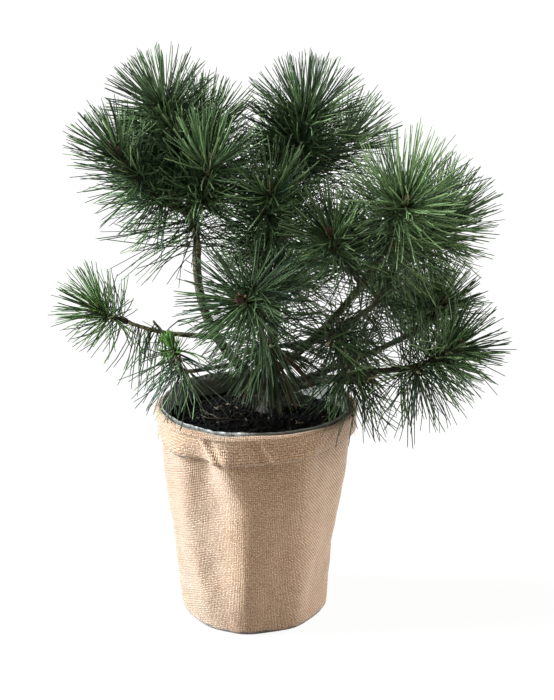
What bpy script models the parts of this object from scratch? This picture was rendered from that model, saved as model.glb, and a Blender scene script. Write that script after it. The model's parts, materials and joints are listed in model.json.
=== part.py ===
"""A mugo pine about half a metre tall, in a jute-wrapped pot.

Metres, +Z up.  The origin is the middle of the pot's flat underside.
A limb is told by where it leaves its parent, its compass heading (0 is +X, 90 is +Y), how far it
reaches and rises, and how much its middle sags.  The shoots of each foliage mass are told the same
way, and their needles follow from one seeded rule.
"""

import math
import random
from collections import namedtuple

import bmesh
import bpy
import numpy as np
from mathutils import Matrix, Vector

# ---------------------------------------------------------------- driving sizes

CLEARANCE = 0.0003  # gap kept between two solids that touch

RIM_HEIGHT = 0.195
RIM_RADIUS = 0.0895  # outside of the folded cuff
FOOT_RADIUS = 0.0665  # outside of the sleeve at its underside
JUTE_THICKNESS = 0.0020
CUFF_DEPTH = 0.027
CUFF_GAP = 0.0012
FOOT_ROUNDING = 0.004
LINER_THICKNESS = 0.0012
LINER_STANDS_UP = 0.0012  # the liner's edge shows above the jute
SOIL_BELOW_RIM = 0.0123
SOIL_FALL = 0.0040  # from the crown of the soil to its edge
SOIL_FLAT_RADIUS = 0.034
TURNING_STEPS = 40

TRUNK_FOOT = Vector((0.012, 0.012, RIM_HEIGHT - SOIL_BELOW_RIM + CLEARANCE))
ROOT_FLARE = 0.0045  # how far the trunk's foot spreads past its own radius
FLARE_HEIGHT = 0.012
FLARE_SHARES = (0.012, 0.03)  # points along the trunk that give the flare its curve
TAPER = 1.6

LIMB_POINTS = 8
SHOOT_POINTS = 5
LEVELLING = 0.015  # a point this share from an end squares the end face to the curve
LIMB_SIDES = 2  # bevel resolution of the trunk and boughs, eight sides
SHOOT_SIDES = 1  # bevel resolution of the shoots, six sides

SHOOT_FOOT_RADIUS = 0.0026
SHOOT_TIP_RADIUS = 0.0019
BUD_LENGTH = 0.010
BUD_RADIUS = 0.0028

GOLDEN_ANGLE = math.radians(137.508)
NEEDLE_RADIUS = 0.0012  # corner to middle of the three-sided needle, at its root
NEEDLE_PITCH = 0.0029  # one needle for each such length of shoot
BARE_FOOT = 0.0035  # no needle stands nearer the foot of its shoot than this
ROSETTE_NEEDLES = 8  # more, crowded under the bud
ROSETTE_SHARE = 0.12  # of the shoot, that these stand on
ROSETTE_CLOSING = (0.25, 1.2)  # share of the opening angle to which each of these closes
FOOT_SPREAD = math.radians(88)  # angle between shoot and needle where the needles start
SPREAD_JITTER = math.radians(8)
LENGTH_JITTER = 0.06
ROOT_DEPTH = 0.45  # a needle's root lies at this share of the shoot's radius
TRIED_TURNS = (0.0, math.radians(16), math.radians(-16))  # about the shoot, to find room
TRIED_LENGTHS = (1.0, 0.8, 0.62)  # a needle with no room at any of these is skipped
NEEDLE_MARGIN = 0.0023  # kept from the needles that already stand in its mass
SPACE_MARGIN = 0.0030  # a needle keeps this much nearer its own mass than any other
LIMB_MARGIN = 0.0024
POT_MARGIN = 0.0028
CHECKED_SHARES = (0.12, 0.25, 0.4, 0.55, 0.7, 0.85, 1.0)  # of a needle, from its root

Limb = namedtuple("Limb", "parent at heading reach rise sag foot_radius tip_radius")
Shoot = namedtuple("Shoot", "parent at heading reach rise sag bare needle open droop")

# A sag of None carries straight on from the parent's tip, in one smooth arc.  Bare is the share of
# a shoot without needles, open the angle in degrees between it and the needles under its bud.
BOUGHS = {
    "trunk": Limb(None, 0, 43, 0.024, 0.178, None, 0.0076, 0.0029),
    "left_leader": Limb("trunk", 0.12, -169, 0.064, 0.126, 0.020, 0.0050, 0.0037),
    "right_bough": Limb("trunk", 0.19, -13, 0.090, 0.100, 0.006, 0.0043, 0.0029),
    "low_front_bough": Limb("trunk", 0.07, -18, 0.112, 0.036, -0.004, 0.0036, 0.0026),
    "low_back_bough": Limb("trunk", 0.11, 14, 0.118, 0.036, 0.003, 0.0034, 0.0024),
    "low_left_bough": Limb("left_leader", 0.46, -171, 0.032, 0.004, 0.0, 0.0025, 0.0022),
    "left_twig": Limb("left_leader", 0.24, -131, 0.059, 0.007, 0.0, 0.0022, 0.0018),
    "front_bough": Limb("trunk", 0.17, -97, 0.058, 0.061, 0.004, 0.0034, 0.0026),
    "back_bough": Limb("trunk", 0.30, 84, 0.072, 0.038, 0.006, 0.0034, 0.0025),
    "back_right_bough": Limb("right_bough", 0.35, 50, 0.092, 0.014, 0.004, 0.0029, 0.0024),
}

# Each mass: its seed, then its shoots.  The first shoot is the stem that the others leave.
MASSES = {
    "upper_left_foliage": (11, {
        "stem": Shoot("left_leader", 1.0, 175, 0.006, 0.036, None, 0.0, 0.082, 80, 0.20),
        "leader": Shoot("stem", 1.0, 180, 0.023, 0.093, -0.006, 0.14, 0.053, 62, 0.0),
        "left": Shoot("stem", 0.97, -161, 0.063, 0.057, 0.008, 0.22, 0.049, 44, 0.0),
        "front": Shoot("stem", 0.97, -64, 0.044, 0.050, 0.004, 0.22, 0.056, 38, 0.0),
        "right": Shoot("stem", 0.97, 73, 0.037, 0.068, 0.004, 0.22, 0.056, 44, 0.0),
        "back": Shoot("stem", 0.97, 120, 0.075, 0.034, 0.006, 0.22, 0.053, 36, 0.0),
    }),
    "upper_middle_foliage": (12, {
        "stem": Shoot("trunk", 1.0, 14, 0.007, 0.032, None, 0.0, 0.058, 70, 0.05),
        "leader": Shoot("stem", 1.0, -14, 0.008, 0.052, 0.0, 0.10, 0.060, 60, 0.0),
        "right": Shoot("stem", 0.9, 49, 0.072, 0.028, 0.006, 0.22, 0.054, 36, 0.0),
        "back": Shoot("stem", 0.9, 99, 0.065, 0.014, 0.006, 0.22, 0.054, 36, 0.0),
    }),
    "middle_foliage": (13, {
        "stem": Shoot("trunk", 0.82, -103, 0.054, 0.062, 0.006, 0.28, 0.052, 40, 0.0),
    }),
    "centre_right_foliage": (14, {
        "stem": Shoot("right_bough", 0.88, -122, 0.052, 0.055, 0.0, 0.28, 0.050, 42, 0.0),
    }),
    "right_foliage": (15, {
        "stem": Shoot("right_bough", 1.0, -59, 0.049, 0.068, None, 0.18, 0.070, 44, 0.0),
        "side": Shoot("stem", 0.35, 35, 0.054, 0.013, 0.008, 0.22, 0.062, 44, 0.0),
    }),
    "low_front_foliage": (16, {
        "stem": Shoot("low_front_bough", 1.0, -28, 0.058, 0.028, None, 0.10, 0.051, 42, 0.15),
        "spur": Shoot("stem", 0.3, -87, 0.031, 0.005, 0.0, 0.30, 0.062, 50, 0.70),
    }),
    "low_back_foliage": (17, {
        "stem": Shoot("low_back_bough", 1.0, -21, 0.041, 0.039, None, 0.10, 0.046, 40, 0.0),
        "side": Shoot("stem", 0.3, 73, 0.051, 0.010, 0.004, 0.22, 0.052, 38, 0.05),
    }),
    "low_left_foliage": (18, {
        "stem": Shoot("low_left_bough", 1.0, -166, 0.047, 0.015, None, 0.0, 0.062, 75, 0.85),
        "end": Shoot("stem", 1.0, -162, 0.025, 0.014, 0.002, 0.05, 0.043, 48, 0.05),
    }),
    "left_sprout_foliage": (19, {
        "stem": Shoot("left_twig", 1.0, -133, 0.019, 0.018, None, 0.0, 0.055, 60, 1.0),
    }),
    "front_foliage": (20, {
        "stem": Shoot("front_bough", 1.0, -116, 0.033, 0.033, None, 0.0, 0.060, 52, 0.30),
    }),
    "inner_foliage": (21, {
        "stem": Shoot("trunk", 0.5, -99, 0.035, 0.031, 0.0, 0.30, 0.046, 45, 0.0),
    }),
    "back_foliage": (22, {
        "stem": Shoot("back_bough", 1.0, 112, 0.043, 0.028, None, 0.08, 0.056, 36, 0.0),
        "right": Shoot("stem", 0.3, 32, 0.043, 0.016, 0.004, 0.22, 0.054, 38, 0.0),
        "low": Shoot("stem", 0.2, 83, 0.045, -0.012, 0.006, 0.22, 0.054, 40, 0.0),
    }),
    "back_right_foliage": (23, {
        "stem": Shoot("back_right_bough", 1.0, 53, 0.038, 0.034, None, 0.10, 0.056, 38, 0.0),
        "low": Shoot("stem", 0.3, 83, 0.043, -0.006, 0.004, 0.22, 0.052, 40, 0.05),
    }),
    "front_hanging_foliage": (24, {
        "stem": Shoot("front_bough", 0.62, -75, 0.022, 0.012, 0.0, 0.30, 0.058, 70, 0.85),
    }),
    "low_hanging_foliage": (25, {
        "stem": Shoot("low_front_bough", 0.42, -40, 0.064, 0.018, 0.002, 0.14, 0.060, 72, 0.95),
    }),
    "under_right_foliage": (26, {
        "stem": Shoot("right_bough", 0.60, -70, 0.030, -0.004, 0.0, 0.30, 0.058, 62, 0.35),
    }),
    "low_middle_foliage": (27, {
        "stem": Shoot("low_back_bough", 0.50, 55, 0.030, 0.012, 0.0, 0.30, 0.054, 60, 0.20),
    }),
}

COLOURS = {  # linear colour, roughness
    "jute": ((0.46, 0.30, 0.16), 0.9),
    "liner": ((0.33, 0.32, 0.29), 0.45),
    "soil": ((0.012, 0.010, 0.008), 0.95),
    "bark": ((0.085, 0.060, 0.035), 0.85),
    "needles": ((0.022, 0.075, 0.022), 0.5),
}


# ---------------------------------------------------------------- scene and helpers

def clear_scene():
    for obj in list(bpy.data.objects):
        bpy.data.objects.remove(obj)


def new_collection(name):
    collection = bpy.data.collections.new(name)
    bpy.context.scene.collection.children.link(collection)
    return collection


def material(name):
    found = bpy.data.materials.get(name)
    if found:
        return found
    colour, roughness = COLOURS[name]
    made = bpy.data.materials.new(name)
    made.use_nodes = True
    shader = made.node_tree.nodes["Principled BSDF"]
    shader.inputs["Base Color"].default_value = (*colour, 1)
    shader.inputs["Roughness"].default_value = roughness
    shader.inputs["Metallic"].default_value = 0.0
    return made


def object_from(bm, name, collection):
    mesh = bpy.data.meshes.new(name)
    bm.to_mesh(mesh)
    bm.free()
    obj = bpy.data.objects.new(name, mesh)
    collection.objects.link(obj)
    return obj


def apply_modifiers(obj):
    """Keeps the object's evaluated mesh as its own."""
    graph = bpy.context.evaluated_depsgraph_get()
    mesh = bpy.data.meshes.new_from_object(obj.evaluated_get(graph))
    obj.modifiers.clear()
    obj.data = mesh


def keep_largest_piece(obj):
    """Drops the loose scraps that a cut leaves."""
    bm = bmesh.new()
    bm.from_mesh(obj.data)
    unseen, pieces = set(bm.verts), []
    while unseen:
        piece, edge = set(), [unseen.pop()]
        while edge:
            vert = edge.pop()
            piece.add(vert)
            near = {e.other_vert(vert) for e in vert.link_edges} & unseen
            unseen -= near
            edge.extend(near)
        pieces.append(piece)
    pieces.sort(key=len)
    for scrap in pieces[:-1]:
        bmesh.ops.delete(bm, geom=list(scrap), context="VERTS")
    bm.to_mesh(obj.data)
    bm.free()


def tube(name, points, radii, resolution, collection):
    """A closed tapering tube through the points, as a mesh."""
    curve = bpy.data.curves.new(name, "CURVE")
    curve.dimensions = "3D"
    curve.bevel_depth = 1.0
    curve.bevel_resolution = resolution
    curve.use_fill_caps = True
    spline = curve.splines.new("POLY")
    spline.points.add(len(points) - 1)
    for slot, point, radius in zip(spline.points, points, radii):
        slot.co = (*point, 1)
        slot.radius = radius
    guide = bpy.data.objects.new(name + "_line", curve)
    collection.objects.link(guide)
    graph = bpy.context.evaluated_depsgraph_get()
    mesh = bpy.data.meshes.new_from_object(guide.evaluated_get(graph))
    bpy.data.objects.remove(guide)
    bm = bmesh.new()
    bm.from_mesh(mesh)
    bmesh.ops.remove_doubles(bm, verts=bm.verts, dist=0.00001)
    bmesh.ops.recalc_face_normals(bm, faces=bm.faces)
    return object_from(bm, name, collection)


def turned(name, profile, collection):
    """A profile of (radius, height) points, up its inner side and down its outer, spun about Z."""
    bm = bmesh.new()
    verts = [bm.verts.new((radius, 0, height)) for radius, height in profile]
    for first, second in zip(verts, verts[1:]):
        bm.edges.new((first, second))
    obj = object_from(bm, name, collection)
    screw = obj.modifiers.new("turn", "SCREW")
    screw.axis = "Z"
    screw.steps = TURNING_STEPS
    screw.render_steps = TURNING_STEPS
    screw.use_merge_vertices = True
    screw.merge_threshold = 0.00005
    screw.use_smooth_shade = True
    return obj


# ---------------------------------------------------------------- pot

def between(low, high, share):
    return low + (high - low) * share


def liner_radius(height):
    """Outside of the liner, which the jute wraps."""
    foot = FOOT_RADIUS - JUTE_THICKNESS - CLEARANCE
    top = RIM_RADIUS - 2 * JUTE_THICKNESS - CUFF_GAP - CLEARANCE
    return between(foot, top, height / RIM_HEIGHT)


def bag_radius(height):
    """Outside of the jute, under its folded cuff."""
    return liner_radius(height) + CLEARANCE + JUTE_THICKNESS


def make_jute_sleeve(parts):
    """The jute bag: floor, wall and the cuff that is folded down outside."""
    top = RIM_HEIGHT - LINER_STANDS_UP
    hem = top - CUFF_DEPTH
    fold = JUTE_THICKNESS
    profile = [
        (0, fold),
        (bag_radius(fold) - fold, fold),
        (bag_radius(top) - fold, top - fold / 2),
        (bag_radius(top) - fold / 2, top),
        (bag_radius(top) + CUFF_GAP + fold / 2, top),
        (bag_radius(top) + CUFF_GAP + fold, top - fold / 2),
        (bag_radius(hem) + CUFF_GAP + fold, hem + fold / 2),
        (bag_radius(hem) + CUFF_GAP + fold / 2, hem),
        (bag_radius(hem) + CUFF_GAP, hem + fold / 2),
        (bag_radius(top) + CUFF_GAP, top - 2 * fold),
        (bag_radius(top), top - 2 * fold),
        (bag_radius(FOOT_ROUNDING), FOOT_ROUNDING),
        (bag_radius(0) - FOOT_ROUNDING, 0),
        (0, 0),
    ]
    return turned("jute_sleeve", profile, parts)


def make_liner(parts):
    """The plastic film pot inside the jute."""
    floor = JUTE_THICKNESS + CLEARANCE
    profile = [
        (0, floor + LINER_THICKNESS),
        (liner_radius(floor) - LINER_THICKNESS, floor + LINER_THICKNESS),
        (liner_radius(RIM_HEIGHT) - LINER_THICKNESS, RIM_HEIGHT),
        (liner_radius(RIM_HEIGHT), RIM_HEIGHT),
        (liner_radius(floor), floor),
        (0, floor),
    ]
    return turned("pot_liner", profile, parts)


def soil_radius(height):
    return liner_radius(height) - LINER_THICKNESS - CLEARANCE


def make_soil(parts):
    """The root ball, flat where the trunk stands and falling a little to its edge."""
    floor = JUTE_THICKNESS + LINER_THICKNESS + 2 * CLEARANCE
    crown = RIM_HEIGHT - SOIL_BELOW_RIM
    profile = [
        (0, crown),
        (SOIL_FLAT_RADIUS, crown),
        (between(SOIL_FLAT_RADIUS, soil_radius(crown), 0.55), crown - SOIL_FALL * 0.35),
        (soil_radius(crown - SOIL_FALL), crown - SOIL_FALL),
        (soil_radius(floor), floor),
        (0, floor),
    ]
    return turned("soil", profile, parts)


def in_pot(point, margin):
    """True in the pot's wall, cuff or soil, or within the margin of them."""
    radius, height = math.hypot(point.x, point.y), point.z
    if height > RIM_HEIGHT + margin or radius > RIM_RADIUS + margin:
        return False
    inside = liner_radius(height) - LINER_THICKNESS - margin
    return radius > inside or height < RIM_HEIGHT - SOIL_BELOW_RIM + margin


# ---------------------------------------------------------------- limbs

class Path:
    """A limb's middle line: a quadratic curve from its foot to its tip."""

    def __init__(self, foot, knee, tip):
        self.foot, self.knee, self.tip = foot, knee, tip

    def at(self, share):
        rest = 1 - share
        return self.foot * rest * rest + self.knee * 2 * rest * share + self.tip * share * share

    def along(self, share):
        rest = 1 - share
        slope = (self.knee - self.foot) * rest + (self.tip - self.knee) * share
        return slope.normalized()

    def length(self):
        steps = [self.at(i / 8) for i in range(9)]
        return sum((b - a).length for a, b in zip(steps, steps[1:]))


def path_of(limb, foot, start_along):
    """The line of a limb or shoot from its foot.  With no sag it starts along start_along."""
    heading = math.radians(limb.heading)
    level = Vector((math.cos(heading), math.sin(heading), 0))
    chord = level * limb.reach + Vector((0, 0, limb.rise))
    tip = foot + chord
    if limb.sag is None:
        leaning = max(chord.normalized().dot(start_along), 0.35)
        return Path(foot, foot + start_along * chord.length / (2 * leaning), tip)
    under = (level * limb.rise - Vector((0, 0, limb.reach))) / chord.length
    return Path(foot, foot + chord / 2 + under * 2 * limb.sag, tip)


def plan_paths():
    """Every limb's and shoot's line, by name.  A shoot's name is (mass, shoot)."""
    paths = {}
    for name, limb in BOUGHS.items():
        if limb.parent is None:
            paths[name] = path_of(limb, TRUNK_FOOT, Vector((0, 0, 1)))
        else:
            paths[name] = path_of(limb, paths[limb.parent].at(limb.at), None)
    for mass, (_, shoots) in MASSES.items():
        for name, shoot in shoots.items():
            bearer = (mass, shoot.parent) if shoot.parent in shoots else shoot.parent
            parent = paths[bearer]
            start_along = parent.along(1.0)
            foot = parent.at(shoot.at)
            if bearer in BOUGHS and shoot.at == 1.0:
                foot = foot + start_along * CLEARANCE
            paths[mass, name] = path_of(shoot, foot, start_along)
    return paths


def limb_radius(limb, share):
    """Thins quickly near the foot, then slowly to the tip."""
    return limb.tip_radius + (limb.foot_radius - limb.tip_radius) * (1 - share) ** TAPER


def flare(height):
    """Extra radius of the trunk's foot at a height above the soil."""
    return ROOT_FLARE * max(0.0, 1 - height / FLARE_HEIGHT) ** 2


def make_limb(name, path, collection, grown=0.0):
    limb = BOUGHS[name]
    shares = [i / (LIMB_POINTS - 1) for i in range(LIMB_POINTS)]
    shares[-1:-1] = [1 - LEVELLING]
    if limb.parent is None:
        shares[1:1] = FLARE_SHARES
    points = [path.at(share) for share in shares]
    radii = [limb_radius(limb, share) + grown for share in shares]
    if limb.parent is None:
        radii = [r + flare(p.z - path.foot.z) for r, p in zip(radii, points)]
    return tube(name, points, radii, LIMB_SIDES, collection)


def cut_clear(obj, others, paths, cutters):
    """Cuts the object a clearance away from each of the limbs named."""
    for name in others:
        cutter = make_limb(name, paths[name], cutters, CLEARANCE)
        cutter.name = f"{obj.name}_seat_on_{name}"
        cutter.hide_render = True
        cutter.display_type = "WIRE"
        cut = obj.modifiers.new(name, "BOOLEAN")
        cut.operation = "DIFFERENCE"
        cut.object = cutter
    apply_modifiers(obj)
    keep_largest_piece(obj)
    for cutter in list(cutters.objects):
        bpy.data.objects.remove(cutter)


def crossing(path, radius, other, other_radius):
    """True if two limbs come close enough to touch."""
    shares = [i / 24 for i in range(25)]
    reach = radius + other_radius + CLEARANCE
    return any((path.at(a) - other.at(b)).length < reach for a in shares for b in shares)


def make_limbs(paths, parts, cutters):
    made = []
    for name, limb in BOUGHS.items():
        obj = make_limb(name, paths[name], parts)
        touched = [
            earlier for earlier in made
            if crossing(paths[name], limb.foot_radius, paths[earlier], BOUGHS[earlier].foot_radius)
        ]
        cut_clear(obj, touched, paths, cutters)
        obj.data.materials.clear()
        obj.data.materials.append(material("bark"))
        made.append(name)


# ---------------------------------------------------------------- foliage

def across(along, turn):
    """A direction square to along, turned about it."""
    level = along.cross(Vector((0, 0, 1)))
    if level.length < 0.05:
        level = along.cross(Vector((0, 1, 0)))
    level.normalize()
    return level * math.cos(turn) + along.cross(level) * math.sin(turn)


def needle_places(path, shoot, rng):
    """(share of the shoot, turn, angle from the shoot, length) of each needle, foot to bud."""
    bare = max(shoot.bare, BARE_FOOT / path.length())
    count = round(path.length() * (1 - bare) / NEEDLE_PITCH)
    crowded = round(ROSETTE_NEEDLES * shoot.needle / 0.06)
    turn = rng.uniform(0, math.tau)
    for i in range(count + crowded):
        if i < count:
            grown = (i + 0.5) / count * (1 - ROSETTE_SHARE)
        else:
            grown = 1 - ROSETTE_SHARE * (1 - (i - count + 0.5) / crowded)
        spread = between(FOOT_SPREAD, math.radians(shoot.open), grown ** 1.6)
        if i >= count:
            spread *= rng.uniform(*ROSETTE_CLOSING)
        spread += rng.uniform(-1, 1) * SPREAD_JITTER
        length = shoot.needle * (1 + rng.uniform(-1, 0.6) * LENGTH_JITTER)
        yield bare + (1 - bare) * grown, turn + i * GOLDEN_ANGLE, spread, length


def needle_direction(along, turn, spread, droop):
    outward = along * math.cos(spread) + across(along, turn) * math.sin(spread)
    return (outward + Vector((0, 0, -droop))).normalized()


def place_needle(room, mass, path, shoot, place):
    """The needle's root and tip, or None where it has no room."""
    share, turn, spread, length = place
    axis = path.along(share)
    for tried_length in TRIED_LENGTHS:
        for tried_turn in TRIED_TURNS:
            side = turn + tried_turn
            root = path.at(share) + across(axis, side) * shoot_radius(share) * ROOT_DEPTH
            tip = root + needle_direction(axis, side, spread, shoot.droop) * length * tried_length
            if room.fits(mass, root, tip):
                return root, tip
    return None


def line_points(root, tip, shares):
    return np.array([root.lerp(tip, share) for share in shares])


class Room:
    """Says whether a needle keeps to its own mass, off the limbs and out of the pot."""

    def __init__(self, paths):
        self.axes = {mass: [] for mass in MASSES}
        self.standing = {mass: [] for mass in MASSES}
        limbs, radii = [], []
        for name, path in paths.items():
            steps = max(4, round(path.length() / 0.002))
            points = [path.at(i / steps) for i in range(steps + 1)]
            if name in BOUGHS:
                limb = BOUGHS[name]
                limbs.extend(points)
                radii.extend(limb_radius(limb, i / steps) for i in range(steps + 1))
            else:
                self.axes[name[0]].extend(points)
        self.limbs, self.radii = np.array(limbs), np.array(radii)
        self.own = {mass: np.array(points) for mass, points in self.axes.items()}

    def fits(self, mass, root, tip):
        points = line_points(root, tip, CHECKED_SHARES)
        to_limbs = np.linalg.norm(points[:, None] - self.limbs[None], axis=2) - self.radii
        if to_limbs.min() < LIMB_MARGIN:
            return False
        nearest = {m: np.linalg.norm(points[:, None] - a[None], axis=2).min(1) for m, a in self.own.items()}
        own = nearest.pop(mass)
        if (np.min(list(nearest.values()), axis=0) - own).min() < SPACE_MARGIN:
            return False
        if any(in_pot(Vector(point), POT_MARGIN) for point in points):
            return False
        line = line_points(root, tip, np.linspace(CHECKED_SHARES[0], 1, 31))
        if self.standing[mass]:
            others = np.concatenate(self.standing[mass])
            if np.linalg.norm(line[:, None] - others[None], axis=2).min() < NEEDLE_MARGIN:
                return False
        self.standing[mass].append(line)
        return True


def cone(name, foot, tip, foot_radius, tip_radius, sides, collection):
    """A cone, or with three sides a needle, from foot to tip."""
    chord = tip - foot
    turn = chord.to_track_quat("Z", "Y").to_matrix().to_4x4()
    bm = bmesh.new()
    bmesh.ops.create_cone(
        bm, cap_ends=True, segments=sides, radius1=foot_radius, radius2=tip_radius, depth=chord.length,
        matrix=Matrix.Translation(foot + chord / 2) @ turn,
    )
    return object_from(bm, name, collection)


def shoot_radius(share):
    return between(SHOOT_FOOT_RADIUS, SHOOT_TIP_RADIUS, share)


def make_mass(mass, paths, room, parts, cutters):
    """One mass: its shoots and buds, with the needles that have room, joined to one solid."""
    seed, shoots = MASSES[mass]
    rng = random.Random(seed)
    pieces = new_collection(mass + "_pieces")
    base = None
    for name, shoot in shoots.items():
        path = paths[mass, name]
        shares = [i / (SHOOT_POINTS - 1) for i in range(SHOOT_POINTS)]
        shares[1:1] = [LEVELLING]
        radii = [shoot_radius(share) for share in shares]
        foot_radius = SHOOT_FOOT_RADIUS
        if shoot.parent in BOUGHS:
            foot_radius = min(SHOOT_FOOT_RADIUS, BOUGHS[shoot.parent].tip_radius)
            radii[:2] = [foot_radius, foot_radius]
        stem = tube(f"{mass}_{name}", [path.at(share) for share in shares], radii, SHOOT_SIDES, pieces)
        if base is None:
            base = stem
            if shoot.at < 1.0:
                cut_clear(base, [shoot.parent], paths, cutters)
        along = path.along(1.0)
        bud_foot = path.tip - along * BUD_LENGTH * 0.4
        cone("bud", bud_foot, path.tip + along * BUD_LENGTH * 0.6, BUD_RADIUS, 0.0006, 6, pieces)
        for place in needle_places(path, shoot, rng):
            found = place_needle(room, mass, path, shoot, place)
            if found:
                cone("needle", *found, NEEDLE_RADIUS, 0.0, 3, pieces)
    pieces.objects.unlink(base)
    parts.objects.link(base)
    base.name = mass
    join = base.modifiers.new("join", "BOOLEAN")
    join.operation = "UNION"
    join.operand_type = "COLLECTION"
    join.collection = pieces
    apply_modifiers(base)
    for piece in list(pieces.objects):
        bpy.data.objects.remove(piece)
    bpy.data.collections.remove(pieces)
    keep_largest_piece(base)
    base.data.materials.clear()
    base.data.materials.append(material("needles"))


# ---------------------------------------------------------------- the whole part

def main():
    clear_scene()
    parts = new_collection("mugo_pine")
    cutters = new_collection("cutters")
    cutters.hide_render = True
    for make, finish in ((make_jute_sleeve, "jute"), (make_liner, "liner"), (make_soil, "soil")):
        make(parts).data.materials.append(material(finish))
    paths = plan_paths()
    make_limbs(paths, parts, cutters)
    room = Room(paths)
    for mass in MASSES:
        make_mass(mass, paths, room, parts, cutters)


main()
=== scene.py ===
"""The looks of a young mountain pine in a jute-wrapped pot.

Metres, +Z up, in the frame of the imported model.  The trunk and boughs get bark with relief.  Each
foliage solid is replaced by twigs, buds and needles that grow by the solid's own rule, carried on
to side twigs and to needles in pairs, within the same reach.  A limb or shoot is told by where it
leaves its parent, its compass heading (0 is +X, 90 is +Y), its reach, its rise and its sag.
"""

import json
import math
import random
from collections import namedtuple
from functools import lru_cache

import bmesh
import bpy
import numpy as np
from bpy.props import FloatProperty, FloatVectorProperty, IntProperty, PointerProperty
from bpy.types import Operator, Panel, PropertyGroup
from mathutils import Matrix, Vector, noise

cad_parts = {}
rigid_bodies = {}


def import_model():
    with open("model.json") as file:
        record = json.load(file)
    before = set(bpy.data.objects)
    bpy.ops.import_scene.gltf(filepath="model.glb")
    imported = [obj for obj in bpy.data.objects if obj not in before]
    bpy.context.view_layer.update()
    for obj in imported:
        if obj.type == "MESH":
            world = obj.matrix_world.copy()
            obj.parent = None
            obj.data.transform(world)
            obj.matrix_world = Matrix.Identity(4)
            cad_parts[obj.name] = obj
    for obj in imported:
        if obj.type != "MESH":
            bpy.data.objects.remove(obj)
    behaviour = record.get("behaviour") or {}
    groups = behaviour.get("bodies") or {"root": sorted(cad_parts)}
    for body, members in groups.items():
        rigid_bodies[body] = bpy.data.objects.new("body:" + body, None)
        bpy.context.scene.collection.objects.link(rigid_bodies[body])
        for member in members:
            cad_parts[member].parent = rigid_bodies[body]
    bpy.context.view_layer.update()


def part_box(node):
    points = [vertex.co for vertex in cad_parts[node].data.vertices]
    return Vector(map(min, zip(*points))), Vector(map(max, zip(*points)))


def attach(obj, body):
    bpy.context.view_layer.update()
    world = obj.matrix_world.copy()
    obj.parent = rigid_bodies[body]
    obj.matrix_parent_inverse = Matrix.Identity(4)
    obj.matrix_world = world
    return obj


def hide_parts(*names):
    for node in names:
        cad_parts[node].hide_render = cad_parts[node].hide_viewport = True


bl_info = {
    "name": "Potted mountain pine",
    "version": (1, 0, 0),
    "blender": (4, 5, 0),
    "location": "3D View > Sidebar > Pine",
    "description": "Dresses the packed pine with bark, twigs, buds, needles, jute, liner and soil",
    "category": "Object",
}

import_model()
BODY = "root"

# ---------------------------------------------------------------- sizes that the frame gives

RIM_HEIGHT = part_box("pot_liner")[1].z
JUTE_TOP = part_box("jute_sleeve")[1].z
LINER_TOP_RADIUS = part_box("pot_liner")[1].x
SOIL_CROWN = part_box("soil")[1].z
TRUNK_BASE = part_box("trunk")[0].z

# ---------------------------------------------------------------- sizes shared with the solids

CLEARANCE = 0.0003  # gap kept between two solids that touch
FOOT_RADIUS = 0.0665  # outside of the sleeve at its underside
JUTE_THICKNESS = 0.0020
CUFF_GAP = 0.0012  # between the cuff and the bag under it
FOOT_ROUNDING = 0.004
LINER_THICKNESS = 0.0012
SOIL_FALL = 0.0040  # from the crown of the soil to its edge
SOIL_FLAT_RADIUS = 0.034
TRUNK_PLACE = (0.012, 0.012)
ROOT_FLARE = 0.0045  # how far the trunk's foot spreads past its own radius
FLARE_HEIGHT = 0.012
TAPER = 1.6
GOLDEN_ANGLE = math.radians(137.508)
BARE_FOOT = 0.0035  # no needle stands nearer the foot of its shoot than this
FOOT_SPREAD = math.radians(88)  # angle between shoot and needle where the needles start

Limb = namedtuple("Limb", "parent at heading reach rise sag foot_radius tip_radius")
Shoot = namedtuple("Shoot", "parent at heading reach rise sag bare needle open droop look")

BOUGHS = {
    "trunk": Limb(None, 0, 43, 0.024, 0.178, None, 0.0076, 0.0029),
    "left_leader": Limb("trunk", 0.12, -169, 0.064, 0.126, 0.020, 0.0050, 0.0037),
    "right_bough": Limb("trunk", 0.19, -13, 0.090, 0.100, 0.006, 0.0043, 0.0029),
    "low_front_bough": Limb("trunk", 0.07, -18, 0.112, 0.036, -0.004, 0.0036, 0.0026),
    "low_back_bough": Limb("trunk", 0.11, 14, 0.118, 0.036, 0.003, 0.0034, 0.0024),
    "low_left_bough": Limb("left_leader", 0.46, -171, 0.032, 0.004, 0.0, 0.0025, 0.0022),
    "left_twig": Limb("left_leader", 0.24, -131, 0.059, 0.007, 0.0, 0.0022, 0.0018),
    "front_bough": Limb("trunk", 0.17, -97, 0.058, 0.061, 0.004, 0.0034, 0.0026),
    "back_bough": Limb("trunk", 0.30, 84, 0.072, 0.038, 0.006, 0.0034, 0.0025),
    "back_right_bough": Limb("right_bough", 0.35, 50, 0.092, 0.014, 0.004, 0.0029, 0.0024),
}

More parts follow.
